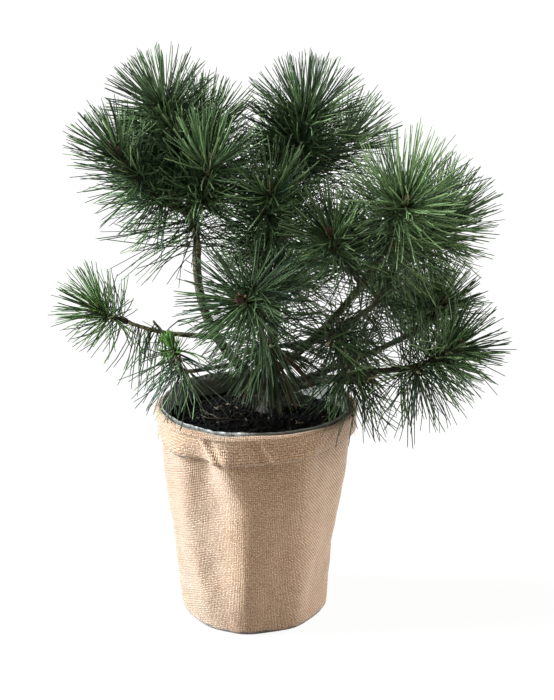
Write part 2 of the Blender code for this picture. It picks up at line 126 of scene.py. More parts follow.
# Each mass: its seed, then its shoots.  Bare is the share of a shoot without needles, needle the
# length of its needles, open the angle in degrees between it and the needles under its bud, and
# droop how far they hang.
MASSES = {
    "upper_left_foliage": (11, {
        "stem": Shoot("left_leader", 1.0, 175, 0.006, 0.036, None, 0.0, 0.082, 80, 0.20, "old"),
        "leader": Shoot("stem", 1.0, 180, 0.023, 0.093, -0.006, 0.14, 0.053, 62, 0.0, "dome"),
        "left": Shoot("stem", 0.97, -161, 0.063, 0.057, 0.008, 0.22, 0.049, 44, 0.0, "green"),
        "front": Shoot("stem", 0.97, -64, 0.044, 0.050, 0.004, 0.22, 0.056, 38, 0.0, "shade"),
        "right": Shoot("stem", 0.97, 73, 0.037, 0.068, 0.004, 0.22, 0.056, 44, 0.0, "green"),
        "back": Shoot("stem", 0.97, 120, 0.075, 0.034, 0.006, 0.22, 0.053, 36, 0.0, "airy"),
    }),
    "upper_middle_foliage": (12, {
        "stem": Shoot("trunk", 1.0, 14, 0.007, 0.032, None, 0.0, 0.058, 70, 0.05, "old"),
        "leader": Shoot("stem", 1.0, -14, 0.008, 0.052, 0.0, 0.10, 0.060, 60, 0.0, "dome"),
        "right": Shoot("stem", 0.9, 49, 0.072, 0.028, 0.006, 0.22, 0.054, 36, 0.0, "thin"),
        "back": Shoot("stem", 0.9, 99, 0.065, 0.014, 0.006, 0.22, 0.054, 36, 0.0, "airy"),
    }),
    "middle_foliage": (13, {
        "stem": Shoot("trunk", 0.82, -103, 0.054, 0.062, 0.006, 0.28, 0.052, 54, 0.0, "lit"),
    }),
    "centre_right_foliage": (14, {
        "stem": Shoot("right_bough", 0.88, -122, 0.052, 0.055, 0.0, 0.28, 0.050, 54, 0.0, "lit"),
    }),
    "right_foliage": (15, {
        "stem": Shoot("right_bough", 1.0, -59, 0.049, 0.068, None, 0.18, 0.070, 48, 0.0, "lit"),
        "side": Shoot("stem", 0.35, 35, 0.054, 0.013, 0.008, 0.22, 0.062, 44, 0.0, "green"),
    }),
    "low_front_foliage": (16, {
        "stem": Shoot("low_front_bough", 1.0, -28, 0.058, 0.028, None, 0.10, 0.051, 42, 0.15, "shade"),
        "spur": Shoot("stem", 0.3, -87, 0.031, 0.005, 0.0, 0.30, 0.066, 50, 0.95, "hanging"),
    }),
    "low_back_foliage": (17, {
        "stem": Shoot("low_back_bough", 1.0, -21, 0.041, 0.039, None, 0.10, 0.046, 40, 0.0, "lit"),
        "side": Shoot("stem", 0.3, 73, 0.051, 0.010, 0.004, 0.22, 0.052, 38, 0.05, "airy"),
    }),
    "low_left_foliage": (18, {
        "stem": Shoot("low_left_bough", 1.0, -166, 0.047, 0.015, None, 0.0, 0.062, 75, 0.85, "sparse"),
        "end": Shoot("stem", 1.0, -162, 0.025, 0.014, 0.002, 0.05, 0.043, 48, 0.05, "bright"),
    }),
    "left_sprout_foliage": (19, {
        "stem": Shoot("left_twig", 1.0, -133, 0.019, 0.018, None, 0.0, 0.055, 60, 1.0, "fringe"),
    }),
    "front_foliage": (20, {
        "stem": Shoot("front_bough", 1.0, -116, 0.033, 0.033, None, 0.0, 0.060, 52, 0.30, "deep"),
    }),
    "inner_foliage": (21, {
        "stem": Shoot("trunk", 0.5, -99, 0.035, 0.031, 0.0, 0.30, 0.046, 45, 0.0, "airy"),
    }),
    "back_foliage": (22, {
        "stem": Shoot("back_bough", 1.0, 112, 0.043, 0.028, None, 0.08, 0.056, 36, 0.0, "airy"),
        "right": Shoot("stem", 0.3, 32, 0.043, 0.016, 0.004, 0.22, 0.054, 38, 0.0, "airy"),
        "low": Shoot("stem", 0.2, 83, 0.045, -0.012, 0.006, 0.22, 0.054, 40, 0.0, "airy"),
    }),
    "back_right_foliage": (23, {
        "stem": Shoot("back_right_bough", 1.0, 53, 0.038, 0.034, None, 0.10, 0.056, 38, 0.0, "airy"),
        "low": Shoot("stem", 0.3, 83, 0.043, -0.006, 0.004, 0.22, 0.052, 40, 0.05, "airy"),
    }),
    "front_hanging_foliage": (24, {
        "stem": Shoot("front_bough", 0.62, -75, 0.022, 0.012, 0.0, 0.30, 0.058, 70, 0.85, "drooping"),
    }),
    "low_hanging_foliage": (25, {
        "stem": Shoot(
            "low_front_bough", 0.42, -40, 0.064, 0.018, 0.002, 0.14, 0.068, 72, 0.98, "curtain"),
    }),
    "under_right_foliage": (26, {
        "stem": Shoot("right_bough", 0.60, -70, 0.030, -0.004, 0.0, 0.30, 0.058, 62, 0.35, "web"),
    }),
    "low_middle_foliage": (27, {
        "stem": Shoot("low_back_bough", 0.50, 55, 0.030, 0.012, 0.0, 0.30, 0.054, 60, 0.20, "web"),
    }),
}

# ---------------------------------------------------------------- looks

TONES = ("dark", "mid", "light", "blue", "young", "dead", "sheath")
Look = namedtuple(
    "Look", "tones spacing crown curl wander above shorter closed side_twigs", defaults=(1,))
# The share of each tone in the order of TONES, without the sheath's, how far apart the pairs
# stand, how many more crowd under the bud, how much the needles curl and wander, the share of
# them kept above the twig, how much shorter some are, how far those under the bud close round it,
# and how many times as many side twigs it has.
LOOKS = {
    "green": Look((0.37, 0.37, 0.22, 0.04, 0.0, 0.002), 1.05, 1.0, 1.0, 0.12, 1.0, 0.14, 0.40),
    "airy": Look((0.28, 0.42, 0.26, 0.04, 0.0, 0.002), 1.8, 0.8, 1.0, 0.13, 1.0, 0.16, 0.45),
    "thin": Look((0.30, 0.42, 0.24, 0.04, 0.0, 0.002), 3.2, 0.7, 1.0, 0.13, 1.0, 0.16, 0.45),
    "dome": Look((0.41, 0.38, 0.18, 0.03, 0.0, 0.0), 0.72, 1.7, 0.4, 0.12, 1.0, 0.12, 0.10),
    # The lit, shade and deep mixes are lighter and darker versions of the same needles, given to a shoot
    # by how the light falls on it: painted light and painted shade.
    "lit": Look((0.16, 0.42, 0.40, 0.02, 0.0, 0.0), 1.35, 1.15, 1.0, 0.13, 1.0, 0.14, 0.72),
    "shade": Look((0.38, 0.44, 0.17, 0.01, 0.0, 0.0), 1.3, 1.0, 0.9, 0.12, 1.0, 0.14, 0.60),
    "deep": Look((0.52, 0.40, 0.07, 0.01, 0.0, 0.0), 0.85, 1.0, 0.9, 0.12, 1.0, 0.14, 0.55),
    "bright": Look((0.14, 0.34, 0.32, 0.0, 0.20, 0.0), 1.3, 0.75, 1.0, 0.14, 1.0, 0.14, 0.25),
    "old": Look((0.44, 0.38, 0.13, 0.05, 0.0, 0.004), 1.6, 0.0, 0.6, 0.30, 0.8, 0.24, 0.42),
    "web": Look((0.56, 0.32, 0.06, 0.05, 0.0, 0.006), 1.9, 0.0, 1.6, 0.42, 0.8, 0.30, 0.42, 4),
    "curtain": Look((0.52, 0.32, 0.08, 0.07, 0.0, 0.006), 2.7, 0.0, 1.2, 0.42, 0.45, 0.30, 0.42, 3),
    "drooping": Look((0.50, 0.31, 0.04, 0.02, 0.0, 0.13), 0.27, 0.0, 0.8, 0.20, 0.6, 0.22, 0.42),
    "hanging": Look((0.42, 0.32, 0.12, 0.14, 0.0, 0.006), 1.35, 0.0, 0.5, 0.34, 0.12, 0.32, 0.42),
    "fringe": Look((0.46, 0.32, 0.07, 0.15, 0.0, 0.006), 1.10, 0.0, 1.0, 0.36, 0.12, 0.20, 0.42),
    "sparse": Look((0.44, 0.34, 0.14, 0.08, 0.0, 0.006), 2.4, 0.0, 0.5, 0.40, 0.10, 0.36, 0.42),
    "sprout": Look((0.0, 0.10, 0.25, 0.0, 0.65, 0.0), 0.6, 1.0, 0.5, 0.05, 1.0, 0.10, 0.42),
}
BUDLESS = ("old", "web", "curtain", "drooping", "hanging", "fringe", "sparse")
GREEN_WOOD = ("bright", "sprout")

# Needles stand in loose clumps round their twig, crowd near its tip, and taper to a point.
CLUMPS = 11
CLUMPING = 0.7
EVEN_SHARE = 0.92  # of the needled length, that the evenly spaced pairs take
CROWDED_FROM = 0.90
CROWDED_SHARE = 0.10
YOUNG_FROM = 0.86
SIDE_TWIG_SPACING = 1.25  # times a shoot's spacing and crown
SIDE_TWIG_CROWN = 0.4
CLOSING = 1.6  # how late along a shoot its needles close round it
MOST_OPEN = 1.25  # times the shoot's opening, for the pairs under its bud
SPREAD_JITTER = math.radians(8)
ROOT_DROOP = 0.55  # share of the droop that shows at a needle's root, and at its tip
TIP_DROOP = 0.95
LONGEST = 1.03  # of a shoot's needle length
ROOT_DEPTH = 0.75  # share of the twig's radius at which a needle starts
PAIR_APART = 0.28  # of a needle's width, from the pair's middle
TIP_FORK = 1.8  # times the fork at the roots
KEPT_BELOW = 0.15  # upward lean under which every pair is kept
NEEDLE_RINGS = (0.0, 0.09, 0.36, 0.68, 0.965)
NEEDLE_SWELL = (0.80, 0.95, 1.0, 0.96, 0.72)
NEEDLE_FLATNESS = 0.72
NEEDLE_TRIES = (1.0, 0.78, 0.55)  # a needle with no room at any of these lengths is skipped
CHECKED_SHARES = np.array((0.15, 0.3, 0.45, 0.6, 0.75, 0.9, 1.0))  # of a needle, from its root
LIMB_MARGIN = 0.0012
POT_MARGIN = 0.0016

MAIN_TWIG_RADIUS = 0.0029
SIDE_TWIG_RADIUS = 0.0014
OLD_TWIG_RADIUS = 0.0019
TWIG_TAPER = 0.74
TWIG_SIDES = 10
TWIG_RING_STEP = 0.0009
TWIG_SCALE_PITCH = 0.0011
SCALE_RELIEF = 0.34  # of a twig's or bud's radius
SCALE_LEVEL = 0.3  # of a scale's height, that lies at the radius itself
GREEN_FROM = 0.85  # share of a twig past which its wood is young
GREEN_WOOD_FROM = 0.55
SIDE_TWIG_EVERY = 0.026  # of the shoot's length
SIDE_TWIG_SHARES = (0.25, 0.75)
SIDE_TWIG_LENGTH = (0.012, 0.022)
SIDE_TWIG_ANGLE = math.radians(48)
SIDE_TWIG_BARE = 0.3
SIDE_TWIG_NEEDLE = 0.78
SIDE_TWIG_OPENER = 4
SPROUT_NEEDLE = 0.016
SPROUT_OPEN = 14
SPROUT_BARE = 0.1
SPROUT_STEPS = ((-0.001, 0, 0.003), (-0.003, 0, 0.007))  # from its foot to its knee and tip

BUD_SIDES = 8
BUD_SHARES = np.array((0.0, 0.12, 0.30, 0.50, 0.70, 0.86, 0.96, 1.0))
BUD_SWELL = np.array((0.70, 0.92, 1.0, 0.90, 0.68, 0.40, 0.18, 0.04))
BUD_SCALE_ROWS = 7
MIDDLE_BUD = (0.0092, 0.0028)  # length and radius
SIDE_BUD = (0.0062, 0.0016)
BUD_SIZES = (1.30, 1.55)
SMALL_BUD = 0.5
BUD_SUNK = 0.0008  # into the twig's tip
SIDE_BUD_LEAN = (0.45, 0.8)  # radians
SIDE_BUD_TURN = 1.35  # radians from one to the next
SIDE_BUD_AWAY = 0.0014

# Bark: plates on old wood, spirals of needle bases on young wood.
LIMB_SIDES = 28
LIMB_RING_STEP = 0.0011
COLLAR_SWELL = 0.25  # of a bough's radius, where it leaves its parent
COLLAR_LENGTH = 0.006
PLATE_SIZE = 0.0042
BARK_SEED = 1  # without one, the warp of the plates would follow the clock
NEEDLE_BASE_PITCH = 0.00055
YOUNG_RADIUS = 0.002  # wood no thicker than this has no plates
OLD_RADIUS = 0.008  # and from this on they are full
OLD_LIMBS = ("trunk", "left_leader")
# How far each family of spirals turns from one needle to the next.
SPIRALS = {3: math.radians(-52.52), 5: math.radians(32.46), 8: math.radians(-20.06)}

SLEEVE_STEPS = 320
LINER_STEPS = 240
SOIL_STEPS = 220
FOLD_OUT = 0.0012
FLOOR_RADIUS = 0.06  # inside this, the pot's folds fade towards its middle
CUFF_TURN = 0.004  # radius of the fold at the cuff's top
CUFF_ROWS = 14
WRAP_RADIUS = 0.080
THREADS_ROUND = 314
RIB_FRONT = math.radians(8)  # the turn from the front at which the two families of ribs part
Ribs = namedtuple("Ribs", "slope spacing contrast")
RIBS_LEFT = Ribs(-74 * 0.0023 / (math.tau * WRAP_RADIUS), 0.0023, 0.45)
RIBS_RIGHT = Ribs(1.00, 0.0032, 2.20)

SOIL_FOLD_RADIUS = 0.083  # where the soil's top follows the pot's folds in full
STEM_CLEAR = 0.016  # no crumb or chip lies nearer the trunk's middle
CRUMBS, CHIPS, FIBRES = 1500, 34, 30
FRAYED_THREADS = 520
FRAYED_RADIUS = 0.00011
HAIR_SIDES = 4
HAIR_TIP = 0.4  # of a hair's radius

PAINTED_SHADE_HEIGHTS = (0.005, 0.065)  # heights over the rim where the trunk's painted shade is full and where it ends
KEY_COLOUR = (0.875, 0.95, 1)
FILL_COLOUR = (1, 0.98, 0.93)
ROOM_COLOUR = (1, 0.970, 0.92, 1)

CAMERA_PLACE = (0.0187, -1.418, 0.678)
CAMERA_PITCH = 17.06
IMAGE_HEIGHT = 700
FOCAL_PIXELS = 1684
SENSOR = 36.0


class PineNeedleSettings(PropertyGroup):
    """Sizes and colours of the needles"""

    width: FloatProperty(
        name="Needle width", description="Width of one needle at its middle",
        default=0.00105, min=0.0005, max=0.003, precision=5, unit="LENGTH")
    pitch: FloatProperty(
        name="Pair spacing", description="Length of twig between two pairs of needles",
        default=0.00050, min=0.0003, max=0.005, precision=5, unit="LENGTH")
    crowded: IntProperty(
        name="Pairs under the bud", description="More pairs crowded under each bud",
        default=52, min=0, max=90)
    fork: FloatProperty(
        name="Pair angle", description="Angle between the two needles of a pair",
        default=math.radians(15), min=0, max=1, subtype="ANGLE")
    curl: FloatProperty(
        name="Curl", description="How far a needle curves back towards its twig",
        default=math.radians(15), min=0, max=1, subtype="ANGLE")
    dark: FloatVectorProperty(
        name="Dark", description="Colour of the darkest needles",
        default=(0.0265, 0.0445, 0.0190), min=0, max=1, subtype="COLOR")
    mid: FloatVectorProperty(
        name="Middle", description="Colour of most needles",
        default=(0.065, 0.117, 0.044), min=0, max=1, subtype="COLOR")
    light: FloatVectorProperty(
        name="Light", description="Colour of the lightest grown needles",
        default=(0.176, 0.272, 0.112), min=0, max=1, subtype="COLOR")
    blue: FloatVectorProperty(
        name="Bluish", description="Colour of the older bluish needles",
        default=(0.038, 0.084, 0.052), min=0, max=1, subtype="COLOR")
    young: FloatVectorProperty(
        name="Young", description="Colour of the youngest needles",
        default=(0.105, 0.235, 0.045), min=0, max=1, subtype="COLOR")
    dead: FloatVectorProperty(
        name="Dead", description="Colour of dead needles",
        default=(0.085, 0.052, 0.030), min=0, max=1, subtype="COLOR")
    sheath: FloatVectorProperty(
        name="Sheath", description="Colour of the sheath round the foot of a pair",
        default=(0.070, 0.085, 0.030), min=0, max=1, subtype="COLOR")


class PineBarkSettings(PropertyGroup):
    """Relief and colours of trunk, boughs, twigs and buds"""

    relief: FloatProperty(
        name="Relief", description="Height of the bark's scales on the trunk",
        default=0.0005, min=0, max=0.002, precision=4, unit="LENGTH")
    deep: FloatVectorProperty(
        name="Bark, deep", description="Colour in the cracks of the bark",
        default=(0.034, 0.024, 0.016), min=0, max=1, subtype="COLOR")
    face: FloatVectorProperty(
        name="Bark, face", description="Colour of the bark's scales",
        default=(0.260, 0.200, 0.128), min=0, max=1, subtype="COLOR")
    olive: FloatVectorProperty(
        name="Bark, olive", description="Colour of the smoother young bark",
        default=(0.360, 0.320, 0.180), min=0, max=1, subtype="COLOR")
    twig: FloatVectorProperty(
        name="Twig", description="Colour of the needled twigs",
        default=(0.030, 0.020, 0.014), min=0, max=1, subtype="COLOR")
    bud: FloatVectorProperty(
        name="Bud", description="Colour of the buds' scales",
        default=(0.105, 0.043, 0.027), min=0, max=1, subtype="COLOR")
    bud_tip: FloatVectorProperty(
        name="Bud, tip", description="Colour of the paler side buds",
        default=(0.240, 0.115, 0.066), min=0, max=1, subtype="COLOR")


class PinePotSettings(PropertyGroup):
    """Cloth, liner and soil"""

    weave_pitch: FloatProperty(
        name="Thread spacing", description="Distance between two threads of the jute",
        default=math.tau * WRAP_RADIUS / THREADS_ROUND, min=0.0005, max=0.005, precision=4,
        unit="LENGTH")
    fold_depth: FloatProperty(
        name="Fold depth", description="How deep the folds of the sleeve are",
        default=0.0056, min=0, max=0.01, precision=4, unit="LENGTH")
    thread: FloatVectorProperty(
        name="Thread", description="Colour of the jute's threads",
        default=(0.748, 0.516, 0.328), min=0, max=1, subtype="COLOR")
    thread_dark: FloatVectorProperty(
        name="Dark thread", description="Colour of the darker threads",
        default=(0.326, 0.179, 0.091), min=0, max=1, subtype="COLOR")
    # Painted highlight: this tint is left off in patches on the cloth's left side, where the key light
    # falls, so that side comes out paler and whiter.
    brown: FloatVectorProperty(
        name="Brown tint", description="Tint of the cloth, except on its painted_highlight side",
        default=(1.0, 0.915, 0.805), min=0, max=1, subtype="COLOR")
    gap: FloatVectorProperty(
        name="Gap", description="Colour between the threads",
        default=(0.125, 0.065, 0.030), min=0, max=1, subtype="COLOR")
    liner: FloatVectorProperty(
        name="Liner", description="Colour of the plastic pot",
        default=(0.100, 0.105, 0.088), min=0, max=1, subtype="COLOR")
    soil: FloatVectorProperty(
        name="Soil", description="Colour of the damp soil",
        default=(0.0034, 0.0028, 0.0025), min=0, max=1, subtype="COLOR")
    chip: FloatVectorProperty(
        name="Wood chip", description="Colour of the chips and fibres in the soil",
        default=(0.26, 0.19, 0.12), min=0, max=1, subtype="COLOR")


class PineStageSettings(PropertyGroup):
    """Floor and studio light"""

    floor: FloatVectorProperty(
        name="Floor", description="Colour of the paper, as it lights the plant from below",
        default=(0.42, 0.41, 0.40), min=0, max=1, subtype="COLOR")
    floor_glow: FloatProperty(
        name="Floor glow", description="How much the paper is brightened",
        default=0.88, min=0, max=1)
    key: FloatProperty(
        name="Key light", description="Strength of the large light on the left",
        default=11.9, min=0, max=50)
    fill: FloatProperty(
        name="Fill light", description="Strength of the light on the right",
        default=5.4, min=0, max=50)
    sky: FloatProperty(
        name="Room light", description="Strength of the even light from all round",
        default=0.18, min=0, max=5)


# ---------------------------------------------------------------- small helpers

def between(low, high, share):
    return low + (high - low) * share


def smoothstep(low, high, value):
    share = min(1.0, max(0.0, (value - low) / (high - low)))
    return share * share * (3 - 2 * share)


def hump(angle, centre, width):
    """One at the centre, falling to nothing a few widths away, for angles in degrees."""
    away = (angle - centre + 180) % 360 - 180
    return math.exp(-((away / width) ** 2))


def link_object(name, mesh):
    obj = bpy.data.objects.new(name, mesh)
    bpy.context.scene.collection.objects.link(obj)
    return obj


def object_from(bm, name):
    mesh = bpy.data.meshes.new(name)
    bm.to_mesh(mesh)
    bm.free()
    return link_object(name, mesh)


def object_from_arrays(name, verts, tris, tones=None):
    """A mesh object of triangles, with a material index for each of them."""
    mesh = bpy.data.meshes.new(name)
    mesh.vertices.add(len(verts))
    mesh.vertices.foreach_set("co", np.asarray(verts, np.float32).ravel())
    mesh.loops.add(len(tris) * 3)
    mesh.loops.foreach_set("vertex_index", np.asarray(tris, np.int32).ravel())
    mesh.polygons.add(len(tris))
    mesh.polygons.foreach_set("loop_start", np.arange(0, len(tris) * 3, 3, dtype=np.int32))
    if tones is not None:
        mesh.polygons.foreach_set("material_index", np.asarray(tones, np.int32))
    mesh.update(calc_edges=True)
    mesh.validate()
    return link_object(name, mesh)


def finish_piece(obj, materials, slot, *nodes, smooth=True):
    """Gives a piece its materials and its body, and hides the nodes that it stands for; the slot is not
    used.
    """
    if smooth:
        obj.data.shade_smooth()
    for each in materials:
        obj.data.materials.append(each)
    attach(obj, BODY)
    if nodes:
        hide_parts(*nodes)


# ---------------------------------------------------------------- lines of growth

PATH_STEPS = 8  # in which a line's length is measured
LEAST_LEANING = 0.35  # cosine between a line's start and the straight way to its tip
NEARLY_UPRIGHT = 0.05  # level part of a direction that is taken for straight up


class Path:
    """The middle line of a limb or shoot: a quadratic curve from its foot to its tip."""

    def __init__(self, foot, knee, tip):
        self.foot, self.knee, self.tip = foot, knee, tip

    def at(self, share):
        rest = 1 - share
        return self.foot * rest * rest + self.knee * 2 * rest * share + self.tip * share * share

    def along(self, share):
        rest = 1 - share
        slope = (self.knee - self.foot) * rest + (self.tip - self.knee) * share
        return slope.normalized()

    def length(self):
        steps = [self.at(i / PATH_STEPS) for i in range(PATH_STEPS + 1)]
        return sum((after - before).length for before, after in zip(steps, steps[1:]))

    def points(self, step):
        count = max(4, round(self.length() / step))
        return [self.at(i / count) for i in range(count + 1)]


def path_of(limb, foot, start_along):
    """The line of a limb or shoot.  With no sag it sets out along start_along."""
    heading = math.radians(limb.heading)
    level = Vector((math.cos(heading), math.sin(heading), 0))
    chord = level * limb.reach + Vector((0, 0, limb.rise))
    tip = foot + chord
    if limb.sag is None:
        leaning = max(chord.normalized().dot(start_along), LEAST_LEANING)
        return Path(foot, foot + start_along * chord.length / (2 * leaning), tip)
    under = (level * limb.rise - Vector((0, 0, limb.reach))) / chord.length
    return Path(foot, foot + chord / 2 + under * 2 * limb.sag, tip)


def plan_paths():
    """Every limb's and shoot's line, by name.  A shoot's name is (mass, shoot)."""
    paths = {}
    for name, limb in BOUGHS.items():
        if limb.parent is None:
            paths[name] = path_of(limb, Vector((*TRUNK_PLACE, TRUNK_BASE)), Vector((0, 0, 1)))
        else:
            paths[name] = path_of(limb, paths[limb.parent].at(limb.at), None)
    for mass, (_, shoots) in MASSES.items():
        for name, shoot in shoots.items():
            parent = paths[(mass, shoot.parent) if shoot.parent in shoots else shoot.parent]
            paths[mass, name] = path_of(shoot, parent.at(shoot.at), parent.along(1.0))
    return paths


PATHS = plan_paths()


def across(along, turn):
    """A direction square to along, turned about it."""
    level = along.cross(Vector((0, 0, 1)))
    if level.length < NEARLY_UPRIGHT:
        level = along.cross(Vector((0, 1, 0)))
    level.normalize()
    return level * math.cos(turn) + along.cross(level) * math.sin(turn)


def limb_radius(limb, share):
    return limb.tip_radius + (limb.foot_radius - limb.tip_radius) * (1 - share) ** TAPER


def liner_radius(height):
    """Outside of the liner, which the jute wraps."""
    foot = FOOT_RADIUS - JUTE_THICKNESS - CLEARANCE
    return between(foot, LINER_TOP_RADIUS, height / RIM_HEIGHT)


def bag_radius(height):
    """Outside of the jute, under its folded cuff."""
    return liner_radius(height) + CLEARANCE + JUTE_THICKNESS


# ---------------------------------------------------------------- wood

def square_to(along, side):
    """The part of side that is square to along, as a direction."""
    return (side - along * side.dot(along)).normalized()


def grow_tube(points, radius_at, sides, relief):
    """A closed tube through the points, as a bmesh.

    radius_at takes a share of the tube, and relief a place, a share and a turn round it.
    """
    bm = bmesh.new()
    turns, runs = bm.verts.layers.float.new("turn"), bm.verts.layers.float.new("run")
    last = len(points) - 1
    run = 0.0
    along = (points[1] - points[0]).normalized()
    side = across(along, 0)
    ring = bmesh.ops.create_circle(bm, cap_ends=False, segments=sides, radius=1)["verts"]
    edges = list(bm.edges)
    for i, point in enumerate(points):
        if i:
            grown = bmesh.ops.extrude_edge_only(bm, edges=edges)["geom"]
            ring = [item for item in grown if isinstance(item, bmesh.types.BMVert)]
            edges = [
                item for item in grown
                if isinstance(item, bmesh.types.BMEdge) and all(v in ring for v in item.verts)
            ]
        along = (points[min(i + 1, last)] - points[max(i - 1, 0)]).normalized()
        side = square_to(along, side)
        other = along.cross(side)
        share = i / last
        radius = radius_at(share)
        run += (point - points[max(i - 1, 0)]).length
        for k, vert in enumerate(ring):
            turn = math.tau * k / sides
            vert[turns], vert[runs] = turn - math.pi, run
            outward = side * math.cos(turn) + other * math.sin(turn)
            place = point + outward * radius
            vert.co = place + outward * relief(place, share, turn)
    bmesh.ops.holes_fill(bm, edges=bm.edges, sides=0)
    bmesh.ops.recalc_face_normals(bm, faces=bm.faces)
    return bm


def unroll(bm, radius):
    """Writes a UV map in metres: round the piece by the turn layer, along it by the run layer."""
    turns, runs = bm.verts.layers.float["turn"], bm.verts.layers.float["run"]
    uv = bm.loops.layers.uv.new("surface")
    for face in bm.faces:
        furthest = max(vert[turns] for vert in face.verts)
        for loop in face.loops:
            turn = loop.vert[turns]
            if furthest - turn > math.pi:
                turn += math.tau
            loop[uv].uv = (turn * radius, loop.vert[runs])


def spiral_scales(run, turn, pitch, families):
    """Scales where two families of spirals cross: one on a scale, zero between them."""
    first, second = (1 + np.cos(count * turn + run / pitch * SPIRALS[count]) for count in families)
    return first * second / 4


def bark_plate(place, size):
    """The scales of old bark: one on a scale, falling to zero in the cracks."""
    spot = Vector((place.x, place.y, place.z * 0.6)) / size
    spot += noise.noise_vector(spot * 0.7) * 0.4
    near, second = noise.voronoi(spot)[0][:2]
    return min(1, (second - near) * 2.6)


def make_limb(name, limb, materials, height):
    path = PATHS[name]
    length = path.length()

    def radius_at(share):
        radius = limb_radius(limb, share)
        if name == "trunk":
            low = max(0.0, 1 - share * length / FLARE_HEIGHT)
            return radius + ROOT_FLARE * low ** 2
        return radius * (1 + COLLAR_SWELL * math.exp(-share * length / COLLAR_LENGTH))

    def relief(place, share, turn):
        age = (radius_at(share) - YOUNG_RADIUS) / (OLD_RADIUS - YOUNG_RADIUS)
        plates = bark_plate(place, PLATE_SIZE) - 0.4
        bases = spiral_scales(share * length, turn, NEEDLE_BASE_PITCH, (5, 8)) - SCALE_LEVEL
        rough = noise.noise(place * 700) * 0.35 + noise.noise(place * 160) * 0.6
        return height * (plates * min(1, age) + (bases + rough) * 0.55)

    bm = grow_tube(path.points(LIMB_RING_STEP), radius_at, LIMB_SIDES, relief)
    unroll(bm, limb.foot_radius)
    old, young = materials
    finish_piece(object_from(bm, "bark_" + name), [old if name in OLD_LIMBS else young], "bark", name)


# ---------------------------------------------------------------- twigs

Twig = namedtuple("Twig", "path bare needle open droop look main foot_radius")


def grow_twigs(mass):
    """The mass's own shoots, each followed by the side twigs that it carries."""
    seed, shoots = MASSES[mass]
    rng = random.Random(seed)
    for name, shoot in shoots.items():
        path, more = PATHS[mass, name], LOOKS[shoot.look].side_twigs
        length = path.length()
        bare = max(shoot.bare, BARE_FOOT / length)
        foot_radius = OLD_TWIG_RADIUS if shoot.look in BUDLESS else MAIN_TWIG_RADIUS
        if shoot.at == 1.0 and shoot.parent in BOUGHS:
            foot_radius = max(foot_radius, BOUGHS[shoot.parent].tip_radius)
        yield Twig(path, bare, shoot.needle, shoot.open, shoot.droop, shoot.look, True, foot_radius)
        for _ in range(int(length / SIDE_TWIG_EVERY) * more):
            share = rng.uniform(*SIDE_TWIG_SHARES)
            turn = rng.uniform(0, math.tau)
            reach = rng.uniform(*SIDE_TWIG_LENGTH) * math.sqrt(more)
            axis = path.along(share)
            leaving = axis * math.cos(SIDE_TWIG_ANGLE) + across(axis, turn) * math.sin(SIDE_TWIG_ANGLE)
            lifted = (leaving + axis * 0.35 + Vector((0, 0, 0.3))).normalized()
            foot = path.at(share)
            knee = foot + leaving * reach / 2
            side = Path(foot, knee, knee + lifted * reach / 2)
            yield Twig(
                side, SIDE_TWIG_BARE, shoot.needle * SIDE_TWIG_NEEDLE, shoot.open + SIDE_TWIG_OPENER,
                shoot.droop, shoot.look, False, SIDE_TWIG_RADIUS)
        if mass == "left_sprout_foliage":
            side = Path(path.tip, *(path.tip + Vector(step) for step in SPROUT_STEPS))
            yield Twig(
                side, SPROUT_BARE, SPROUT_NEEDLE, SPROUT_OPEN, 0.0, "sprout", False, SIDE_TWIG_RADIUS)


def unit(vectors):
    return vectors / np.maximum(np.linalg.norm(vectors, axis=-1, keepdims=True), 1e-9)


def curve_places(path, shares):
    """Points and directions of a path at an array of shares."""
    foot, knee, tip = (np.array(point) for point in (path.foot, path.knee, path.tip))
    ahead = shares[:, None]
    rest = 1 - ahead
    places = foot * rest * rest + knee * 2 * rest * ahead + tip * ahead * ahead
    return places, unit((knee - foot) * rest + (tip - knee) * ahead)


def sides_of(along):
    """Two directions square to each of the given ones and to each other."""
    level = np.cross(along, (0.0, 0.0, 1.0))
    upright = np.linalg.norm(level, axis=-1) < NEARLY_UPRIGHT
    level[upright] = np.cross(along[upright], (0.0, 1.0, 0.0))
    level = unit(level)
    return level, np.cross(along, level)


def band_tris(first, second):
    """Two triangles for each side between two rings of vertex numbers, facing outwards."""
    after, above = np.roll(first, -1, axis=-1), np.roll(second, -1, axis=-1)
    lower = np.stack((first, after, above), axis=-1)
    upper = np.stack((first, above, second), axis=-1)
    return np.concatenate((lower, upper), axis=-2)


def fan_tris(ring, point, outward=True):
    """Triangles from a ring of vertex numbers to one point."""
    after = np.roll(ring, -1, axis=-1)
    middle = np.broadcast_to(np.asarray(point)[..., None], ring.shape)
    order = (ring, after, middle) if outward else (after, ring, middle)
    return np.stack(order, axis=-1)


class Heap:
    """Gathers many small closed shapes into one mesh."""

    def __init__(self):
        self.verts, self.tris, self.tones, self.count = [], [], [], 0

    def add(self, verts, tris, tones):
        self.verts.append(verts.reshape(-1, 3))
        self.tris.append(tris.reshape(-1, 3) + self.count)
        self.tones.append(tones.ravel())
        self.count += verts.size // 3

    def make(self, name):
        return object_from_arrays(
            name, np.concatenate(self.verts), np.concatenate(self.tris),
            np.concatenate(self.tones))


def turns_of(sides):
    return np.arange(sides) * math.tau / sides


def closed_tube(places, level, other, radii):
    """Vertices and triangles of a tube through the places, with a radius for each ring's sides."""
    count, sides = radii.shape
    turns = turns_of(sides)[:, None]
    out = level[:, None] * np.cos(turns) + other[:, None] * np.sin(turns)
    rings = places[:, None] + out * radii[..., None]
    verts = np.concatenate((rings.reshape(-1, 3), places[:1], places[-1:]))
    index = np.arange(count * sides).reshape(count, sides)
    ends = (fan_tris(index[0], count * sides, False), fan_tris(index[-1], count * sides + 1))
    return verts, np.concatenate((band_tris(index[:-1], index[1:]).reshape(-1, 3), *ends))


